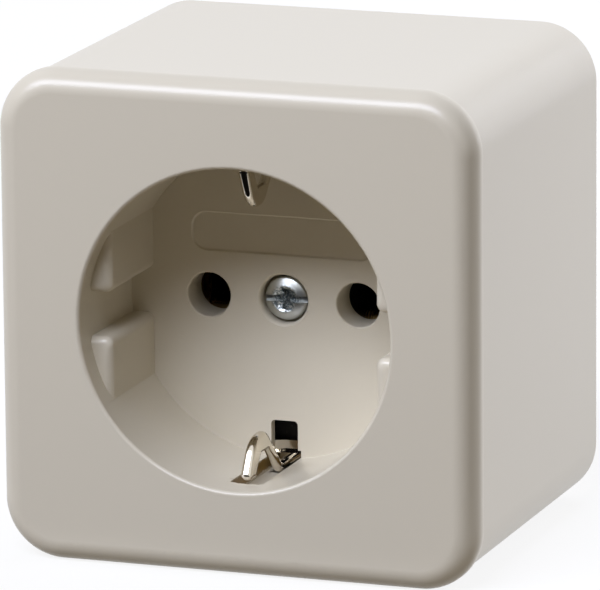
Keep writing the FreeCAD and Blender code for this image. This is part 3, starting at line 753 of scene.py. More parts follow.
@dataclass
class FrontCover:
    """The front moulding: a plate with rounded edges, a spigot, and the well with all that is in it."""

    corner: float = 0.0074
    front_edge: float = 0.0028
    rim_depth: float = 0.0034
    rim_edge: float = 0.0002
    wall: float = 0.0022
    spigot_half: float = 0.0275
    spigot_corner: float = 0.0049
    spigot_wall: float = 0.0015
    spigot_end: float = 0.0080
    well_radius: float = 0.0195
    well_outside: float = 0.0211
    well_depth: float = 0.0175
    floor_back: float = 0.0195
    mouth_edge: float = 0.0005
    floor_edge: float = 0.00003
    front_steps: int = 14
    rim_steps: int = 4
    mouth_steps: int = 6
    floor_steps: int = 5
    guide_flat: float = 0.0166
    guide_side: float = 0.0027
    guide_start: float = 0.0032
    guide_edge: float = 0.0010
    guide_steps: int = 8
    guide_wall_steps: int = 16
    pin_x: float = 0.0095
    pin_radius: float = 0.0027
    collar_radius: float = 0.0039
    collar_end: float = 0.0220
    bore_radius: float = 0.0030
    bore_edge: float = 0.0004
    bore_seat: float = 0.0199
    boss_radius: float = 0.0042
    boss_end: float = 0.0213
    shank_hole: float = 0.00175
    hole_edge: float = 0.00022
    channel_half: float = 0.0021
    channel_start: float = 0.0042
    channel_floor: float = 0.0212
    channel_outside: float = 0.0224
    channel_wall: float = 0.0012
    window_half: float = 0.0017
    window_edge: float = 0.0149
    window_corner: float = 0.0005
    lip: float = 0.0013
    relief_half: float = 0.0039
    relief_edge: float = 0.0140
    field_half_width: float = 0.0115
    field_half_height: float = 0.00225
    field_rise: float = 0.00785
    field_corner: float = 0.0018
    field_sink: float = 0.0002
    field_draft: float = 0.0002
    rib_thickness: float = 0.0012

    def skin(self) -> list[Points]:
        """The outer and inner skin of the moulding.

        Returns:
            The rings from the floor of the well over the front, round the rim and back behind the floor.
        """
        rings = []
        for sine, cosine in Outline.quarter(self.floor_steps):
            radius = self.well_radius - self.floor_edge * (1 - sine)
            rings.append(Outline.circle(radius, self.well_depth - self.floor_edge * (1 - cosine)))
        for sine, cosine in Outline.quarter(self.mouth_steps):
            radius = self.well_radius + self.mouth_edge * (1 - cosine)
            rings.append(Outline.circle(radius, self.mouth_edge * (1 - sine)))
        for sine, cosine in Outline.quarter(self.front_steps):
            inset = self.front_edge * (1 - sine)
            depth = self.front_edge * (1 - cosine)
            rings.append(Outline.square(HALF_WIDTH - inset, self.corner - inset, depth))
        for sine, cosine in Outline.quarter(self.rim_steps):
            inset = self.rim_edge * (1 - cosine)
            depth = self.rim_depth - self.rim_edge * (1 - sine)
            rings.append(Outline.square(HALF_WIDTH - inset, self.corner - inset, depth))
        rings.append(Outline.square(self.spigot_half, self.spigot_corner, self.rim_depth))
        rings.append(Outline.square(self.spigot_half, self.spigot_corner, self.spigot_end))
        inner_half = self.spigot_half - self.spigot_wall
        inner_corner = self.spigot_corner - self.spigot_wall
        rings.append(Outline.square(inner_half, inner_corner, self.spigot_end))
        rings.append(Outline.square(inner_half, inner_corner, self.wall))
        rings.append(Outline.circle(self.well_outside, self.wall))
        rings.append(Outline.circle(self.well_outside, self.floor_back))
        return rings

    def guide_block(self, side: int, end: int) -> bpy.types.Object:
        """One of the four blocks that guide the plug.

        Args:
            side: -1 on the left, 1 on the right.
            end: -1 below, 1 above.

        Returns:
            The block, rooted in the wall and floor of the well.
        """
        back = (self.well_depth + self.floor_back) / 2
        rings = []
        for sine, cosine in Outline.quarter(self.guide_steps):
            inset = self.guide_edge * (1 - sine)
            depth = self.guide_start + self.guide_edge * (1 - cosine)
            rings.append([at(side * x, depth, end * z) for x, z in self.guide_plan(inset)])
        rings.append([at(side * x, back, end * z) for x, z in self.guide_plan(0.0)])
        return Workshop.loft("guide", rings)

    def guide_plan(self, inset: float) -> list[Pair]:
        """The section of a guide block, round the corner from flat to side and back along the wall.

        Args:
            inset: how far its flat and side lie behind their own planes.

        Returns:
            Pairs of distances from the axis, across and in height.
        """
        root = (self.well_radius + self.well_outside) / 2
        flat = self.guide_flat + inset
        side = self.guide_side + inset
        plan = []
        for sine, cosine in Outline.quarter(self.guide_steps):
            plan.append((flat + self.guide_edge * (1 - cosine), side + self.guide_edge * (1 - sine)))
        low = math.asin(side / root)
        high = math.acos(flat / root)
        turns = [low + (high - low) * i / self.guide_wall_steps for i in range(self.guide_wall_steps + 1)]
        return plan + [(root * math.cos(t), root * math.sin(t)) for t in turns]

    def hole(self, radius: float, edge: float, end: float) -> list[Pair]:
        """The profile of a hole in the floor of the well, with an eased mouth.

        Args:
            radius: the radius of the hole.
            edge: how far its mouth is eased.
            end: the depth where it ends.

        Returns:
            Pairs of radius and depth.
        """
        depth = self.well_depth
        return [
            (radius + 2 * edge, depth - edge),
            (radius + edge / 3, depth + edge / 3),
            (radius, depth + edge),
            (radius, end),
        ]

    def window(self, end: int) -> bpy.types.Object:
        """The tool for the window in the floor that lets an earth tongue through.

        Args:
            end: -1 below, 1 above.

        Returns:
            The tool.
        """
        depths = (self.well_depth - PAST, self.floor_back + PAST)
        heights = (end * self.window_edge, end * (self.channel_outside + PAST))
        made = Workshop.block("window", self.window_half, depths, heights)
        near = self.window_corner / 2

        def corner(edge: bmesh.types.BMEdge) -> bool:
            """Whether an edge runs back along a corner of the window.

            Args:
                edge: an edge of the tool.

            Returns:
                True for an edge to round.
            """
            return all(
                abs(abs(v.co.z) - self.window_edge) < near and abs(abs(v.co.x) - self.window_half) < near
                for v in edge.verts
            ) and abs(edge.verts[0].co.x - edge.verts[1].co.x) < near

        Workshop.soften(made, corner, self.window_corner)
        return made

    def channel(self, end: int) -> bpy.types.Object:
        """The tool for the channel in the wall that an earth tongue moves in.

        Args:
            end: -1 below, 1 above.

        Returns:
            The tool.
        """
        depths = (self.channel_start, self.floor_back + PAST)
        heights = (end * (self.well_radius - PAST), end * self.channel_floor)
        return Workshop.block("channel", self.channel_half, depths, heights)

    def channel_cover(self, end: int) -> bpy.types.Object:
        """The walls that close a channel behind the wall of the well.

        Args:
            end: -1 below, 1 above.

        Returns:
            The walls, still solid.
        """
        heights = (end * (self.well_radius + self.well_outside) / 2, end * self.channel_outside)
        half = self.channel_half + self.channel_wall
        return Workshop.block("channel_cover", half, (self.wall / 2, self.floor_back), heights)

    def relief(self, end: int) -> bpy.types.Object:
        """The tool that thins the floor from behind round a window.

        Args:
            end: -1 below, 1 above.

        Returns:
            The tool.
        """
        depths = (self.well_depth + self.lip, self.floor_back + PAST)
        heights = (end * self.relief_edge, end * (self.channel_outside + PAST))
        return Workshop.block("relief", self.relief_half, depths, heights)

    def field(self) -> bpy.types.Object:
        """The tool for the bare sunk field above the middle of the floor, with drafted sides.

        Returns:
            The tool.
        """
        rings = []
        for depth, grow in (
            (self.well_depth - self.field_sink, 2 * self.field_draft),
            (self.well_depth + self.field_sink, 0.0),
        ):
            w = self.field_half_width + grow
            h = self.field_half_height + grow
            r = self.field_corner + grow
            corners = [(w, h, r), (-w, h, r), (-w, -h, r), (w, -h, r)]
            rings.append([at(x, depth, self.field_rise + z) for x, z in Outline.rounded(corners)])
        return Workshop.loft("field", rings)

    def ribs(self) -> list[bpy.types.Object]:
        """The gusset ribs behind the plate, from the well to the corners of the spigot.

        Returns:
            The four ribs.
        """
        near = (self.well_radius + self.well_outside) / 2
        inner_half = self.spigot_half - self.spigot_wall
        inner_corner = self.spigot_corner - self.spigot_wall
        far = math.sqrt(2) * (inner_half - inner_corner) + inner_corner + self.spigot_wall / 2
        half = self.rib_thickness / 2
        made = []
        for turn in range(4):
            along = Matrix.Rotation(math.pi / 4 + turn * math.pi / 2, 3, "Y")
            flat = [(near, -half), (far, -half), (far, half), (near, half)]
            outline = [at(0, self.wall / 2, 0) + along @ Vector((x, 0, z)) for x, z in flat]
            made.append(Workshop.prism("rib", outline, Vector((0, self.spigot_end - self.wall / 2, 0))))
        return made

    def build(self) -> bpy.types.Object:
        """Build the cover.

        Returns:
            The finished piece.
        """
        made = Workshop.loft("socket_front_cover", self.skin())
        middle = (self.well_depth + self.floor_back) / 2
        ends = (-1, 1)
        added = [self.guide_block(side, end) for side in ends for end in ends]
        added += [self.channel_cover(end) for end in ends]
        for x, radius, end in (
            (-self.pin_x, self.collar_radius, self.collar_end),
            (self.pin_x, self.collar_radius, self.collar_end),
            (0.0, self.boss_radius, self.boss_end),
        ):
            added.append(Workshop.lathe("collar", [(radius, middle), (radius, end)], x))
        Workshop.work(made, added + self.ribs(), Cut.JOIN)
        removed = [self.window(end) for end in ends] + [self.field()]
        for side in ends:
            profile = self.hole(self.pin_radius, self.hole_edge, self.collar_end + PAST)
            removed.append(Workshop.lathe("pin", profile, side * self.pin_x))
        bore = self.hole(self.bore_radius, self.bore_edge, self.bore_seat)
        bore += [(self.shank_hole, self.bore_seat), (self.shank_hole, self.boss_end + PAST)]
        removed.append(Workshop.lathe("bore", bore))
        Workshop.work(made, removed, Cut.REMOVE)
        Workshop.work(made, [self.channel(end) for end in ends], Cut.REMOVE)
        Workshop.work(made, [self.relief(end) for end in ends], Cut.REMOVE)
        Workshop.finish(made, material_of(COVER_PLASTIC))
        hand_over(made, Slot.COVER, "front_cover")
        return made


@dataclass
class HousingBox:
    """The box behind the seam, open at the front, with posts, wall fixing holes and a cable entry."""

    half: float = 0.02965
    corner: float = 0.00705
    wall: float = 0.0020
    start: float = 0.0034
    front_edge: float = 0.00025
    back_edge: float = 0.0006
    back_inside: float = 0.0463
    post_x: float = 0.0105
    post_z: float = 0.0140
    post_radius: float = 0.0040
    post_front: float = 0.0396
    pilot_radius: float = 0.0015
    pilot_end: float = 0.0455
    hole_place: float = 0.0200
    hole_radius: float = 0.0023
    pad_radius: float = 0.0050
    pad_height: float = 0.0010
    entry_half_width: float = 0.0100
    entry_half_height: float = 0.0070
    entry_corner: float = 0.0030
    knockout_half: float = 0.0080
    knockout_length: float = 0.0120
    knockout_skin: float = 0.0007
    knockout_steps: int = 24
    back_steps: int = 6
    front_steps: int = 4

    def skin(self) -> list[Points]:
        """The outer and inner skin of the box.

        Returns:
            The rings from the wall face forward over the sides and back down inside.
        """
        rings = []
        for sine, cosine in Outline.quarter(self.back_steps):
            inset = self.back_edge * (1 - sine)
            depth = TOTAL_DEPTH - self.back_edge * (1 - cosine)
            rings.append(Outline.square(self.half - inset, self.corner - inset, depth))
        for sine, cosine in Outline.quarter(self.front_steps):
            inset = self.front_edge * (1 - cosine)
            depth = self.start + self.front_edge * (1 - sine)
            rings.append(Outline.square(self.half - inset, self.corner - inset, depth))
        inside = self.half - self.wall
        rings.append(Outline.square(inside, self.corner - self.wall, self.start))
        rings.append(Outline.square(inside, self.corner - self.wall, self.back_inside))
        return rings

    def knockout(self, end: int) -> bpy.types.Object:
        """The tool that thins the wall inside at a knock-out for a cable.

        Args:
            end: -1 below, 1 above.

        Returns:
            The tool.
        """
        start = self.back_inside - self.knockout_length
        half = self.knockout_half
        plan = [(half, self.back_inside), (half, start)]
        turns = [math.pi * i / self.knockout_steps for i in range(1, self.knockout_steps)]
        plan += [(half * math.cos(t), start - half * math.sin(t)) for t in turns]
        plan += [(-half, start), (-half, self.back_inside)]
        inner = self.half - self.wall - PAST
        outer = self.half - self.knockout_skin
        outline = [at(x, depth, end * inner) for x, depth in plan]
        return Workshop.prism("knockout", outline, Vector((0, 0, end * (outer - inner))))

    def entry(self) -> bpy.types.Object:
        """The tool for the cable entry in the wall face.

        Returns:
            The tool.
        """
        w = self.entry_half_width
        h = self.entry_half_height
        corners = [(s * w, t * h, self.entry_corner) for s, t in ((1, 1), (-1, 1), (-1, -1), (1, -1))]
        outline = [at(x, self.back_inside - PAST, z) for x, z in Outline.rounded(corners)]
        return Workshop.prism("entry", outline, Vector((0, TOTAL_DEPTH - self.back_inside + 2 * PAST, 0)))

    def build(self) -> bpy.types.Object:
        """Build the box.

        Returns:
            The finished piece.
        """
        made = Workshop.loft("socket_housing_box", self.skin())
        middle = (self.back_inside + TOTAL_DEPTH) / 2
        added = []
        removed = [self.entry(), self.knockout(-1), self.knockout(1)]
        for side in (-1, 1):
            for end in (-1, 1):
                profile = [(self.post_radius, self.post_front), (self.post_radius, middle)]
                added.append(Workshop.lathe("post", profile, side * self.post_x, end * self.post_z))
            place = side * self.hole_place
            top = self.back_inside - self.pad_height
            pad = [(self.pad_radius, top), (self.pad_radius, middle)]
            added.append(Workshop.lathe("pad", pad, place, -place))
            hole = [(self.hole_radius, top - PAST), (self.hole_radius, TOTAL_DEPTH + PAST)]
            removed.append(Workshop.lathe("hole", hole, place, -place))
            pilot = [(self.pilot_radius, self.post_front - PAST), (self.pilot_radius, self.pilot_end)]
            removed.append(Workshop.lathe("pilot", pilot, side * self.post_x, side * self.post_z))
        Workshop.work(made, added, Cut.JOIN)
        Workshop.work(made, removed, Cut.REMOVE)
        Workshop.finish(made, material_of(BOX_PLASTIC))
        hand_over(made, Slot.BOX, "housing_box")
        return made


@dataclass
class EarthBracket:
    """The earth bracket: a strip across the block whose two ends are the sprung tongues in the well."""

    strip_half: float = 0.0035
    strip_front: float = 0.0270
    sheet: float = 0.0012
    bend: float = 0.0010
    riser_inside: float = 0.0196
    riser_front: float = 0.0202
    tongue_half: float = 0.0006
    tongue_edge: float = 0.00056
    sag: float = 0.0004
    flare: float = 0.25
    flare_start: float = 0.0075
    crown: float = 0.0138
    arch: float = 0.0170
    foot: float = 0.0191
    thread_hole: float = 0.0015
    rivet_hole: float = 0.00125
    terminal_rise: float = 0.0104
    rivet_rise: float = 0.0050
    lug_top: float = 0.0183
    lug_sheet: float = 0.0006
    bend_steps: int = 10
    hole_steps: int = 40
    tongue_plan: tuple[Corner, ...] = (
        (0.0214, 0.0196, 0.0),
        (0.0155, 0.0196, 0.0010),
        (0.0099, 0.0138, 0.0026),
        (0.0061, 0.0138, 0.0038),
        (0.0036, 0.0186, 0.0006),
        (0.0041, 0.0191, 0.0006),
        (0.0056, 0.0191, 0.0006),
        (0.00775, 0.0163, 0.0007),
        (0.010646, 0.0163, 0.0014),
        (0.014991, 0.0208, 0.0022),
        (0.0214, 0.0208, 0.0),
    )
    lug_plan: tuple[Pair, ...] = (
        (-0.0032, 0.0208),
        (-0.0012, 0.0216),
        (0.0012, 0.0216),
        (0.0032, 0.0208),
    )

    def tongue(self, end: int) -> bpy.types.Object:
        """The sprung end of the bracket, with rounded rims.

        Args:
            end: -1 below, 1 above.

        Returns:
            The tongue.
        """
        plan = []
        for depth, rise, radius in self.tongue_plan:
            drop = end * self.sag if rise < self.arch else 0.0
            plan.append((depth, rise - drop, radius))
        outline = [at(-self.tongue_half, d, end * z) for d, z in Outline.rounded(plan, self.bend_steps)]
        made = Workshop.prism("tongue", outline, Vector((2 * self.tongue_half, 0, 0)))
        root = FRONT_Y + self.tongue_plan[0][0] - self.sheet

        def rim(edge: bmesh.types.BMEdge) -> bool:
            """Whether an edge runs along a rim in front of the root."""
            first, last = (v.co for v in edge.verts)
            return abs(first.x - last.x) < self.tongue_edge and min(first.y, last.y) < root

        Workshop.soften(made, rim, self.tongue_edge)
        for vertex in made.data.vertices:
            if vertex.co.y - FRONT_Y < self.flare_start:
                share = (abs(vertex.co.z) - self.crown) / (self.foot - self.crown)
                vertex.co.x *= 1 + self.flare * max(0.0, share)
        return made

    def lug(self, end: int) -> bpy.types.Object:
        """The trough-shaped lug that stands up from a riser behind its tongue.

        Args:
            end: -1 below, 1 above.

        Returns:
            The lug.
        """
        half = self.lug_sheet / 2
        front = [at(x, d - half, end * self.lug_top) for x, d in self.lug_plan]
        back = [at(x, d + half, end * self.lug_top) for x, d in self.lug_plan]
        root = self.riser_inside + self.sheet / 2
        return Workshop.prism("lug", front + back[::-1], Vector((0, 0, end * (root - self.lug_top))))

    def strip(self) -> bpy.types.Object:
        """The strip behind the block with its two risers.

        Returns:
            The strip.
        """
        back = self.strip_front + self.sheet
        outside = self.riser_inside + self.sheet
        inner = self.bend
        outer = self.bend + self.sheet
        plan = [
            (self.riser_front, outside, 0.0),
            (back, outside, outer),
            (back, -outside, outer),
            (self.riser_front, -outside, 0.0),
            (self.riser_front, -self.riser_inside, 0.0),
            (self.strip_front, -self.riser_inside, inner),
            (self.strip_front, self.riser_inside, inner),
            (self.riser_front, self.riser_inside, 0.0),
        ]
        outline = [at(-self.strip_half, d, z) for d, z in Outline.rounded(plan, self.bend_steps)]
        return Workshop.prism("earth_bracket_strip", outline, Vector((2 * self.strip_half, 0, 0)))

    def build(self) -> bpy.types.Object:
        """Build the bracket.

        Returns:
            The finished piece.
        """
        made = self.strip()
        ends = (-1, 1)
        Workshop.work(made, [self.tongue(end) for end in ends], Cut.JOIN)
        Workshop.work(made, [self.lug(end) for end in ends], Cut.JOIN)
        start = self.strip_front - PAST
        back = self.strip_front + self.sheet + PAST
        holes = [(0.0, self.thread_hole)]
        for end in ends:
            holes.append((end * self.terminal_rise, self.thread_hole))
            holes.append((end * self.rivet_rise, self.rivet_hole))
        steps = self.hole_steps
        tools = [Workshop.lathe("hole", [(r, start), (r, back)], z=z, steps=steps) for z, r in holes]
        Workshop.work(made, tools, Cut.REMOVE)
        made.name = "earth_bracket_with_tongues"
        Workshop.finish(made, material_of(NICKEL_PLATE))
        hand_over(made, Slot.NICKEL, "earth_bracket")
        return made


class GeometryTree(NodeMaker):
    """A Geometry Nodes tree with named inputs."""

    KINDS = {float: "NodeSocketFloat", Vector: "NodeSocketVector"}
    ROUND_STEPS = 40

    def __init__(self, name: str, sizes: dict[str, Any], material: bpy.types.Material) -> None:
        """Start a tree.

        Args:
            name: the name of the tree.
            sizes: its inputs by name, with the values that they are given.
            material: the finish of what it makes.
        """
        super().__init__(bpy.data.node_groups.new(name, "GeometryNodeTree"))
        self.sizes = sizes
        self.material = material
        face = self.tree.interface
        face.new_socket("Geometry", in_out="OUTPUT", socket_type="NodeSocketGeometry")
        self.identifiers = {}
        for key, value in sizes.items():
            kind = self.KINDS[type(value)]
            self.identifiers[key] = face.new_socket(key, in_out="INPUT", socket_type=kind).identifier
        self.source = self.tree.nodes.new("NodeGroupInput")

    def size(self, name: str) -> Term:
        """One of the inputs."""
        return Term(self, self.source.outputs[name])

    def vector(self, x: Any = 0.0, y: Any = 0.0, z: Any = 0.0) -> Term:
        """A vector from three values or terms."""
        return self.add("ShaderNodeCombineXYZ", None, {0: x, 1: y, 2: z})

    def moved(self, mesh: Term, place: Term) -> Term:
        """Geometry moved by a vector."""
        return self.add("GeometryNodeTransform", None, {"Geometry": mesh, "Translation": place})

    def rod(self, radius: Any, start: Term, end: Any) -> Term:
        """A cylinder along Z.

        Args:
            radius: its radius.
            start: the value of Z at one end.
            end: the value of Z at the other end, a number or a term.

        Returns:
            The mesh.
        """
        sockets = {"Vertices": self.ROUND_STEPS, "Radius": radius, "Depth": end - start}
        mesh = self.add("GeometryNodeMeshCylinder", None, sockets, "Mesh")
        return self.moved(mesh, self.vector(z=(start + end) * 0.5))

    def joined(self, meshes: list[Term]) -> Term:
        """One solid from meshes that overlap."""
        return self.add("GeometryNodeMeshBoolean", {"operation": "UNION"}, {"Mesh 2": meshes})

    def cut(self, mesh: Term, tools: list[Term]) -> Term:
        """A mesh less some tools."""
        sockets = {"Mesh 1": mesh, "Mesh 2": tools}
        return self.add("GeometryNodeMeshBoolean", {"operation": "DIFFERENCE"}, sockets)

    def along_depth(self, mesh: Term) -> Term:
        """Geometry whose Z axis is turned to run front to back."""
        sockets = {"Geometry": mesh, "Rotation": (-math.pi / 2, 0.0, 0.0)}
        return self.add("GeometryNodeTransform", None, sockets)

    def run(self, result: Term) -> bpy.types.Object:
        """Close the tree and make its result a plain mesh.

        Args:
            result: the geometry, instances among it.

        Returns:
            The object.
        """
        real = self.add("GeometryNodeRealizeInstances", None, {"Geometry": result})
        dressed = self.add("GeometryNodeSetMaterial", None, {"Geometry": real, "Material": self.material})
        self.add("NodeGroupOutput", None, {"Geometry": dressed})
        name = self.tree.name
        made = bpy.data.objects.new(name, bpy.data.meshes.new(name))
        modifier = made.modifiers.new("build", "NODES")
        modifier.node_group = self.tree
        for key, value in self.sizes.items():
            modifier[self.identifiers[key]] = value
        bpy.context.scene.collection.objects.link(made)
        Workshop.bake(made)
        return made


@dataclass
class FastenerPair:
    """Two equal screws or rivets, made by Geometry Nodes."""

    name: str
    first: Vector
    step: Vector
    head_radius: float
    head_height: float
    head_edge: float
    shank_radius: float
    shank_length: float
    slot_width: float = 0.0008
    slot_depth: float = 0.0011
    slot_reach: float = 3.0
    tail_height: float = 0.0

    def build(self, finish: PlatedMetal, slot: Slot, node: str) -> bpy.types.Object:
        """Build the pair.

        Args:
            finish: the metal.
            slot: the record's material slot.
            node: the CAD node that the pair replaces.

        Returns:
            The finished piece.
        """
        sizes = {
            "Head Radius": self.head_radius,
            "Head Height": self.head_height,
            "Head Edge": self.head_edge,
            "Shank Radius": self.shank_radius,
            "Shank Length": self.shank_length,
            "Slot Width": self.slot_width,
            "Slot Depth": self.slot_depth,
            "Tail Height": self.tail_height,
            "First Place": self.first,
            "Step": self.step,
        }
        material = material_of(finish)
        tree = GeometryTree(self.name, sizes, material)
        radius = tree.size("Head Radius")
        edge = tree.size("Head Edge")
        top = tree.size("Head Height") * -1.0
        rim = top + edge
        head = tree.rod(radius, rim, 0.0)
        cone = {
            "Vertices": tree.ROUND_STEPS,
            "Radius Top": radius,
            "Radius Bottom": radius - edge,
            "Depth": edge,
        }
        crown = tree.moved(tree.add("GeometryNodeMeshCone", None, cone, "Mesh"), tree.vector(z=top))
        length = tree.size("Shank Length")
        shank = tree.rod(tree.size("Shank Radius"), top * 0.5, length)
        pieces = [head, crown, shank]
        if self.tail_height > 0:
            pieces.append(tree.rod(radius, length - tree.size("Tail Height"), length))
        solid = tree.joined(pieces)
        if self.slot_depth > 0:
            reach = radius * self.slot_reach
            size = tree.vector(reach, tree.size("Slot Width"), tree.size("Slot Depth") * 2.0)
            driver = tree.add("GeometryNodeMeshCube", None, {"Size": size}, "Mesh")
            solid = tree.cut(solid, [tree.moved(driver, tree.vector(z=top))])
        line = {"Count": 2, "Start Location": tree.size("First Place"), "Offset": tree.size("Step")}
        places = tree.add("GeometryNodeMeshLine", None, line)
        sockets = {"Points": places, "Instance": tree.along_depth(solid)}
        made = tree.run(tree.add("GeometryNodeInstanceOnPoints", None, sockets))
        Workshop.finish(made, material)
        hand_over(made, slot, node)
        return made


@dataclass
class CoverScrew:
    """The screw in the middle of the well: a domed, bitten head with a slot and a cross, and a thread."""

    head_radius: float = 0.0027
    head_top: float = 0.0177
    head_seat: float = 0.0199
    dome: float = 0.0052
    rim: float = 0.00025
    slot_half: float = 0.0004
    slot_depth: float = 0.0011
    cross_reach: float = 0.00150
    cross_half: float = 0.00050
    cross_depth: float = 0.0015
    cross_mouth: float = 1.12
    cross_tip: float = 0.55
    pit_plan: tuple[Pair, ...] = (
        (0.00175, -0.0005),
        (0.0016, 0.00025),
        (0.0010, 0.0006),
        (0.0003, 0.0015),
    )
    core_radius: float = 0.00125
    thread_height: float = 0.0002
    thread_pitch: float = 0.0005
    tip: float = 0.0312
    dome_steps: int = 12
    head_steps: int = 96
    pit_steps: int = 48
    thread_sides: int = 32
    turn_steps: int = 8

    def head(self) -> bpy.types.Object:
        """The turned head with its driver slot, its cross and the hollow bitten round them.

        Returns:
            The head.
        """
        profile = []
        steps = self.dome_steps
        brow = self.head_radius - self.rim
        lean = math.asin(brow / self.dome)
        for i in range(1, steps + 1):
            turn = lean * i / steps
            profile.append((self.dome * math.sin(turn), self.head_top + self.dome * (1 - math.cos(turn))))
        drop = profile[-1][1]
        fillet = self.rim / (1 - math.sin(lean))
        for i in range(1, steps + 1):
            turn = lean + (math.pi / 2 - lean) * i / steps
            radius = brow + fillet * (math.sin(turn) - math.sin(lean))
            profile.append((radius, drop + fillet * (math.cos(lean) - math.cos(turn))))
        profile.append((self.head_radius, self.head_seat))
        made = Workshop.lathe("head", profile, steps=self.head_steps)
        top = self.head_top - PAST
        reach = self.head_radius + PAST
        depths = (top, self.head_top + self.slot_depth)
        slot = Workshop.block("slot", reach, depths, (-self.slot_half, self.slot_half))
        Workshop.work(made, [slot], Cut.REMOVE)
        for across in (False, True):
            rings = []
            for depth, share in (
                (self.head_top - PAST / 2, self.cross_mouth),
                (self.head_top + self.cross_depth, self.cross_tip),
            ):
                w = self.cross_reach * share
                h = self.cross_half * share
                flat_ring = [(-w, -h), (w, -h), (w, h), (-w, h)]
                rings.append([at(z, depth, x) if across else at(x, depth, z) for x, z in flat_ring])
            Workshop.work(made, [Workshop.loft("cross", rings)], Cut.REMOVE)
        pit = [(radius, self.head_top + depth) for radius, depth in self.pit_plan]
        Workshop.work(made, [Workshop.lathe("pit", pit, steps=self.pit_steps)], Cut.REMOVE)
        return made

    def shank(self, material: bpy.types.Material) -> bpy.types.Object:
        """The threaded shank, whose radius follows the turns of the thread.

        Args:
            material: the finish of the screw.

        Returns:
            The shank.
        """
        start = self.head_seat - PAST / 2
        sizes = {
            "Core Radius": self.core_radius,
            "Thread Height": self.thread_height,
            "Pitch": self.thread_pitch,
            "Start": start,
            "Length": self.tip - start,
            "Front": FRONT_Y,
        }
        tree = GeometryTree("cover_screw_shank", sizes, material)
        core = tree.size("Core Radius")
        length = tree.size("Length")
        turns = int((self.tip - start) / self.thread_pitch)
        sockets = {
            "Vertices": self.thread_sides,
            "Side Segments": self.turn_steps * turns,
            "Radius": core,
            "Depth": length,
        }
        mesh = tree.add("GeometryNodeMeshCylinder", None, sockets, "Mesh")
        place = tree.add("GeometryNodeInputPosition")
        parts = tree.add("ShaderNodeSeparateXYZ", None, {0: place})
        x = tree.output_of(parts, 0)
        y = tree.output_of(parts, 1)
        z = tree.output_of(parts, 2)
        turn = y.math("ARCTAN2", x) / (2 * math.pi)
        wave = (z / tree.size("Pitch") - turn).math("PINGPONG", 0.5) * 2.0
        radius = (x * x + y * y).math("SQRT")
        on_side = radius.math("GREATER_THAN", self.core_radius / 2)
        grow = 1.0 + wave * tree.size("Thread Height") * on_side / core
        target = tree.vector(x * grow, y * grow, z)
        cut = tree.add("GeometryNodeSetPosition", None, {"Geometry": mesh, "Position": target})
        middle = tree.size("Front") + tree.size("Start") + length * 0.5
        return tree.run(tree.moved(tree.along_depth(cut), tree.vector(y=middle)))

    def build(self) -> bpy.types.Object:
        """Build the screw.

        Returns:
            The finished piece.
        """
        material = material_of(HEAD_STEEL)
        made = self.head()
        Workshop.work(made, [self.shank(material)], Cut.JOIN)
        made.name = "cover_screw_cross_slot"
        Workshop.finish(made, material)
        hand_over(made, Slot.SCREW, "cover_screw")
        return made


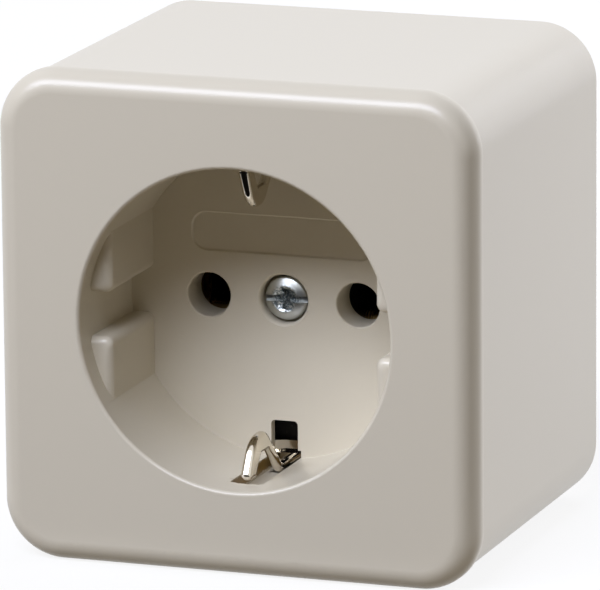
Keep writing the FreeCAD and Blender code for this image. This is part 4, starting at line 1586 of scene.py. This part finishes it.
@dataclass
class Innards:
    """What the cover hides: fasteners that are remade, and the rest, which keep their solids."""

    terminal_x: float = 0.0165
    terminal_rise: float = 0.0064
    terminal_seat: float = 0.0250
    earth_rise: float = 0.0104
    earth_seat: float = 0.0258
    terminal_tip: float = 0.0300
    post_x: float = 0.0105
    post_z: float = 0.0140
    fixing_seat: float = 0.0310
    fixing_tip: float = 0.0450
    contact_front: float = 0.0262
    contact_bed: float = 0.0300
    earth_rivet_rise: float = 0.0050
    earth_rivet_front: float = 0.0224
    earth_rivet_bed: float = 0.0282
    terminal_head: Pair = (0.0027, 0.0022)
    fixing_head: Pair = (0.0028, 0.0020)
    head_edge: float = 0.0004
    screw_radius: float = 0.00145
    rivet_radius: float = 0.0012
    rivet_head: Pair = (0.0017, 0.0009)

    def screws(self, name: str, first: Vector, step: Vector, head: Pair, tip: float) -> None:
        """Build a pair of slotted screws.

        Args:
            name: the CAD node that they replace.
            first: where the first one's head sits.
            step: the way to the second.
            head: the radius and the height of a head.
            tip: the depth of the ends.
        """
        length = tip - (first.y - FRONT_Y)
        pair = FastenerPair(
            f"{name}_slotted",
            first,
            step,
            *head,
            self.head_edge,
            self.screw_radius,
            length,
        )
        pair.build(SCREW_STEEL, Slot.SCREW, name)

    def rivets(self, name: str, first: Vector, step: Vector, bed: float) -> None:
        """Build a pair of rivets.

        Args:
            name: the CAD node that they replace.
            first: where the first one's head sits.
            step: the way to the second.
            bed: the depth that the set heads lie on.
        """
        height = self.rivet_head[1]
        length = bed + height - (first.y - FRONT_Y)
        pair = FastenerPair(
            f"{name}_set",
            first,
            step,
            *self.rivet_head,
            self.head_edge,
            self.rivet_radius,
            length,
            slot_depth=0.0,
            tail_height=height,
        )
        pair.build(BRASS_SHEET, Slot.BRASS, name)

    @staticmethod
    def dress(finish: PlatedMetal | PressedBlock, *nodes: str) -> None:
        """Give some CAD nodes a finish.

        Args:
            finish: the finish.
            nodes: the names of the nodes.
        """
        material = material_of(finish)
        for node in nodes:
            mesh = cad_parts[node].data
            mesh.materials.clear()
            mesh.materials.append(material)
            LOG.info("%s: dressed in %s", node, material.name)

    def build(self) -> None:
        """Build the fasteners and dress the rest."""
        for pole, side in (("line", 1), ("neutral", -1)):
            first = at(side * self.terminal_x, self.terminal_seat, -self.terminal_rise)
            step = Vector((0, 0, 2 * self.terminal_rise))
            self.screws(f"{pole}_terminal_screws", first, step, self.terminal_head, self.terminal_tip)
        first = at(0, self.earth_seat, -self.earth_rise)
        step = Vector((0, 0, 2 * self.earth_rise))
        self.screws("earth_terminal_screws", first, step, self.terminal_head, self.terminal_tip)
        first = at(-self.post_x, self.fixing_seat, -self.post_z)
        step = Vector((2 * self.post_x, 0, 2 * self.post_z))
        self.screws("base_fixing_screws", first, step, self.fixing_head, self.fixing_tip)
        first = at(-self.terminal_x, self.contact_front, 0)
        step = Vector((2 * self.terminal_x, 0, 0))
        self.rivets("contact_rivets", first, step, self.contact_bed)
        first = at(0, self.earth_rivet_front, -self.earth_rivet_rise)
        step = Vector((0, 0, 2 * self.earth_rivet_rise))
        self.rivets("earth_bracket_rivets", first, step, self.earth_rivet_bed)
        self.dress(BLOCK_PLASTIC, "socket_base")
        self.dress(BRASS_SHEET, "line_contact", "neutral_contact")
        self.dress(SPRING_STEEL, "line_contact_spring", "neutral_contact_spring")
        for pole in ("line", "neutral", "earth"):
            self.dress(CLAMP_STEEL, f"{pole}_clamp_upper", f"{pole}_clamp_lower")


@dataclass(frozen=True)
class SoftBox:
    """A soft lamp that looks at the middle of the socket."""

    name: str
    azimuth: float
    elevation: float
    distance: float
    width: float
    height: float
    watts: float
    roll: float = 0.0
    mirrored: bool = True
    colour: Colour = (0.943, 1.0, 1.19)

    def build(self) -> None:
        """Hang the lamp."""
        lamp = bpy.data.lights.new(self.name, "AREA")
        lamp.shape = "RECTANGLE"
        lamp.size = self.width
        lamp.size_y = self.height
        lamp.energy = self.watts
        lamp.color = self.colour
        made = bpy.data.objects.new(self.name, lamp)
        away = Studio.direction(self.azimuth, self.elevation)
        made.location = (CAD_BOX[0] + CAD_BOX[1]) / 2 + away * self.distance
        roll = Matrix.Rotation(math.radians(self.roll), 3, "Z")
        made.rotation_euler = (away.to_track_quat("Z", "Y").to_matrix() @ roll).to_euler()
        made.visible_glossy = self.mirrored
        bpy.context.scene.collection.objects.link(made)


@dataclass(frozen=True)
class PhotoCamera:
    """The camera at the photograph's viewing angle, with the wall face's centre as its target."""

    azimuth: float = 19.893
    elevation: float = 13.117
    roll: float = -0.464
    distance: float = 0.938936
    slide_across: float = -0.008504
    slide_up: float = -0.00611
    lens: float = 455.8
    clip_near: float = 0.05
    clip_far: float = 20.0

    def build(self) -> None:
        """Place the camera."""
        data = bpy.data.cameras.new("photo_camera")
        data.lens = self.lens
        data.clip_start = self.clip_near
        data.clip_end = self.clip_far
        back = Studio.direction(self.azimuth, self.elevation)
        turn = math.radians(self.azimuth)
        level = Vector((math.cos(turn), math.sin(turn), 0))
        upright = back.cross(level)
        roll = math.radians(self.roll)
        right = level * math.cos(roll) + upright * math.sin(roll)
        up = upright * math.cos(roll) - level * math.sin(roll)
        eye = right * self.slide_across + up * self.slide_up + back * self.distance
        made = bpy.data.objects.new("photo_camera", data)
        made.matrix_world = Matrix.Translation(eye) @ Matrix((right, up, back)).transposed().to_4x4()
        bpy.context.scene.collection.objects.link(made)
        bpy.context.scene.camera = made


@dataclass
class Studio:
    """A pale floor, a dark card, a white surround, three soft lamps and the camera."""

    floor_reach: float = 3.0
    floor_white: float = 0.86
    floor_bounce: Colour = (0.24, 0.20, 0.14)
    surround: Colour = (0.060, 0.040, 0.014)
    card_half: float = 0.60
    card_near: float = -0.056
    card_far: float = -0.75
    card_low: float = 0.001
    card_high: float = 0.30
    card_colour: Colour = (0.006, 0.005, 0.004)
    lamps: tuple[SoftBox, ...] = (
        SoftBox("key_lamp", -25.0, 44.0, 1.0, 1.15, 0.34, 12.2, 18.0),
        SoftBox("back_lamp", 180.0, 55.0, 1.0, 0.50, 0.50, 2.0, mirrored=False),
        SoftBox("rear_lamp", 150.0, 7.0, 1.0, 0.70, 0.60, 17.0, mirrored=False),
    )

    @staticmethod
    def direction(azimuth: float, elevation: float) -> Vector:
        """The way from the socket to a place.

        Args:
            azimuth: degrees to the right of straight in front.
            elevation: degrees above the horizon.

        Returns:
            A unit vector.
        """
        a = math.radians(azimuth)
        e = math.radians(elevation)
        return Vector((math.sin(a) * math.cos(e), -math.cos(a) * math.cos(e), math.sin(e)))

    @staticmethod
    def looked_at(maker: NodeMaker) -> Term:
        """A switch between what is looked at and what only gives light.

        Args:
            maker: the maker of the nodes.

        Returns:
            1 for rays from the camera, mirrors and glass, 0 for the rest.
        """
        path = maker.add("ShaderNodeLightPath")
        seen = [maker.output_of(path, f"Is {kind} Ray") for kind in ("Camera", "Glossy", "Transmission")]
        return seen[0].math("MAXIMUM", seen[1]).math("MAXIMUM", seen[2])

    def floor(self) -> bpy.types.Object:
        """The floor, white to the eye, with a soft shadow and little light thrown back.

        Returns:
            The floor.
        """
        reach = self.floor_reach
        low = CAD_BOX[0].z
        builder = bmesh.new()
        corners = [(-reach, -reach), (reach, -reach), (reach, reach), (-reach, reach)]
        builder.faces.new([builder.verts.new((x, y, low)) for x, y in corners])
        made = Workshop.piece("studio_floor", builder)
        maker = ShaderMaker("studio_floor")
        seen = self.looked_at(maker)
        glow = maker.add("ShaderNodeEmission", None, {"Color": (1.0, 1.0, 1.0, 1.0), "Strength": 1.0})
        matt = maker.add("ShaderNodeBsdfDiffuse", None, {"Color": (1.0, 1.0, 1.0, 1.0)})
        dim = maker.add("ShaderNodeBsdfDiffuse", None, {"Color": (*self.floor_bounce, 1.0)})
        shown = maker.add("ShaderNodeMixShader", None, {0: self.floor_white, 1: matt, 2: glow})
        surface = maker.add("ShaderNodeMixShader", None, {0: seen, 1: dim, 2: shown})
        maker.add("ShaderNodeOutputMaterial", None, {"Surface": surface})
        made.data.materials.append(maker.material)
        return made

    def card(self) -> bpy.types.Object:
        """The dark card in front of the socket, folded up at its far end, which only its mirrors see.

        Returns:
            The card.
        """
        builder = bmesh.new()
        floor = CAD_BOX[0].z
        fold = (
            (self.card_near, self.card_low),
            (self.card_far, self.card_low),
            (self.card_far, self.card_high),
        )
        left = [builder.verts.new((-self.card_half, y, floor + z)) for y, z in fold]
        right = [builder.verts.new((self.card_half, y, floor + z)) for y, z in fold]
        for i in range(len(fold) - 1):
            builder.faces.new((left[i], right[i], right[i + 1], left[i + 1]))
        made = Workshop.piece("studio_card", builder)
        maker = ShaderMaker("studio_card")
        dark = maker.add("ShaderNodeBsdfDiffuse", None, {"Color": (*self.card_colour, 1.0)})
        maker.add("ShaderNodeOutputMaterial", None, {"Surface": dark})
        made.data.materials.append(maker.material)
        made.visible_camera = False
        made.visible_diffuse = False
        made.visible_shadow = False
        return made

    def world(self) -> None:
        """The surround, white where it is seen, and dim and warm where it lights the socket."""
        world = bpy.data.worlds.new("surround")
        world.use_nodes = True
        bpy.context.scene.world = world
        world.node_tree.nodes.clear()
        maker = NodeMaker(world.node_tree)
        seen = self.looked_at(maker)
        colour = maker.mix(seen, self.surround, (1.0, 1.0, 1.0))
        shade = maker.add("ShaderNodeBackground", None, {"Color": colour, "Strength": 1.0})
        maker.add("ShaderNodeOutputWorld", None, {"Surface": shade})

    def build(self) -> None:
        """Set up the studio."""
        bpy.context.scene.view_settings.view_transform = "Standard"
        self.floor()
        self.card()
        self.world()
        for lamp in self.lamps:
            lamp.build()
        PhotoCamera().build()
        LOG.info("studio: %d lamps", len(self.lamps))


def main() -> None:
    """Build the socket piece by piece and then the studio."""
    logging.basicConfig(level=logging.INFO, format="%(name)s %(message)s")
    FrontCover().build()
    HousingBox().build()
    EarthBracket().build()
    CoverScrew().build()
    Innards().build()
    Studio().build()


if __name__ == "__main__":
    main()
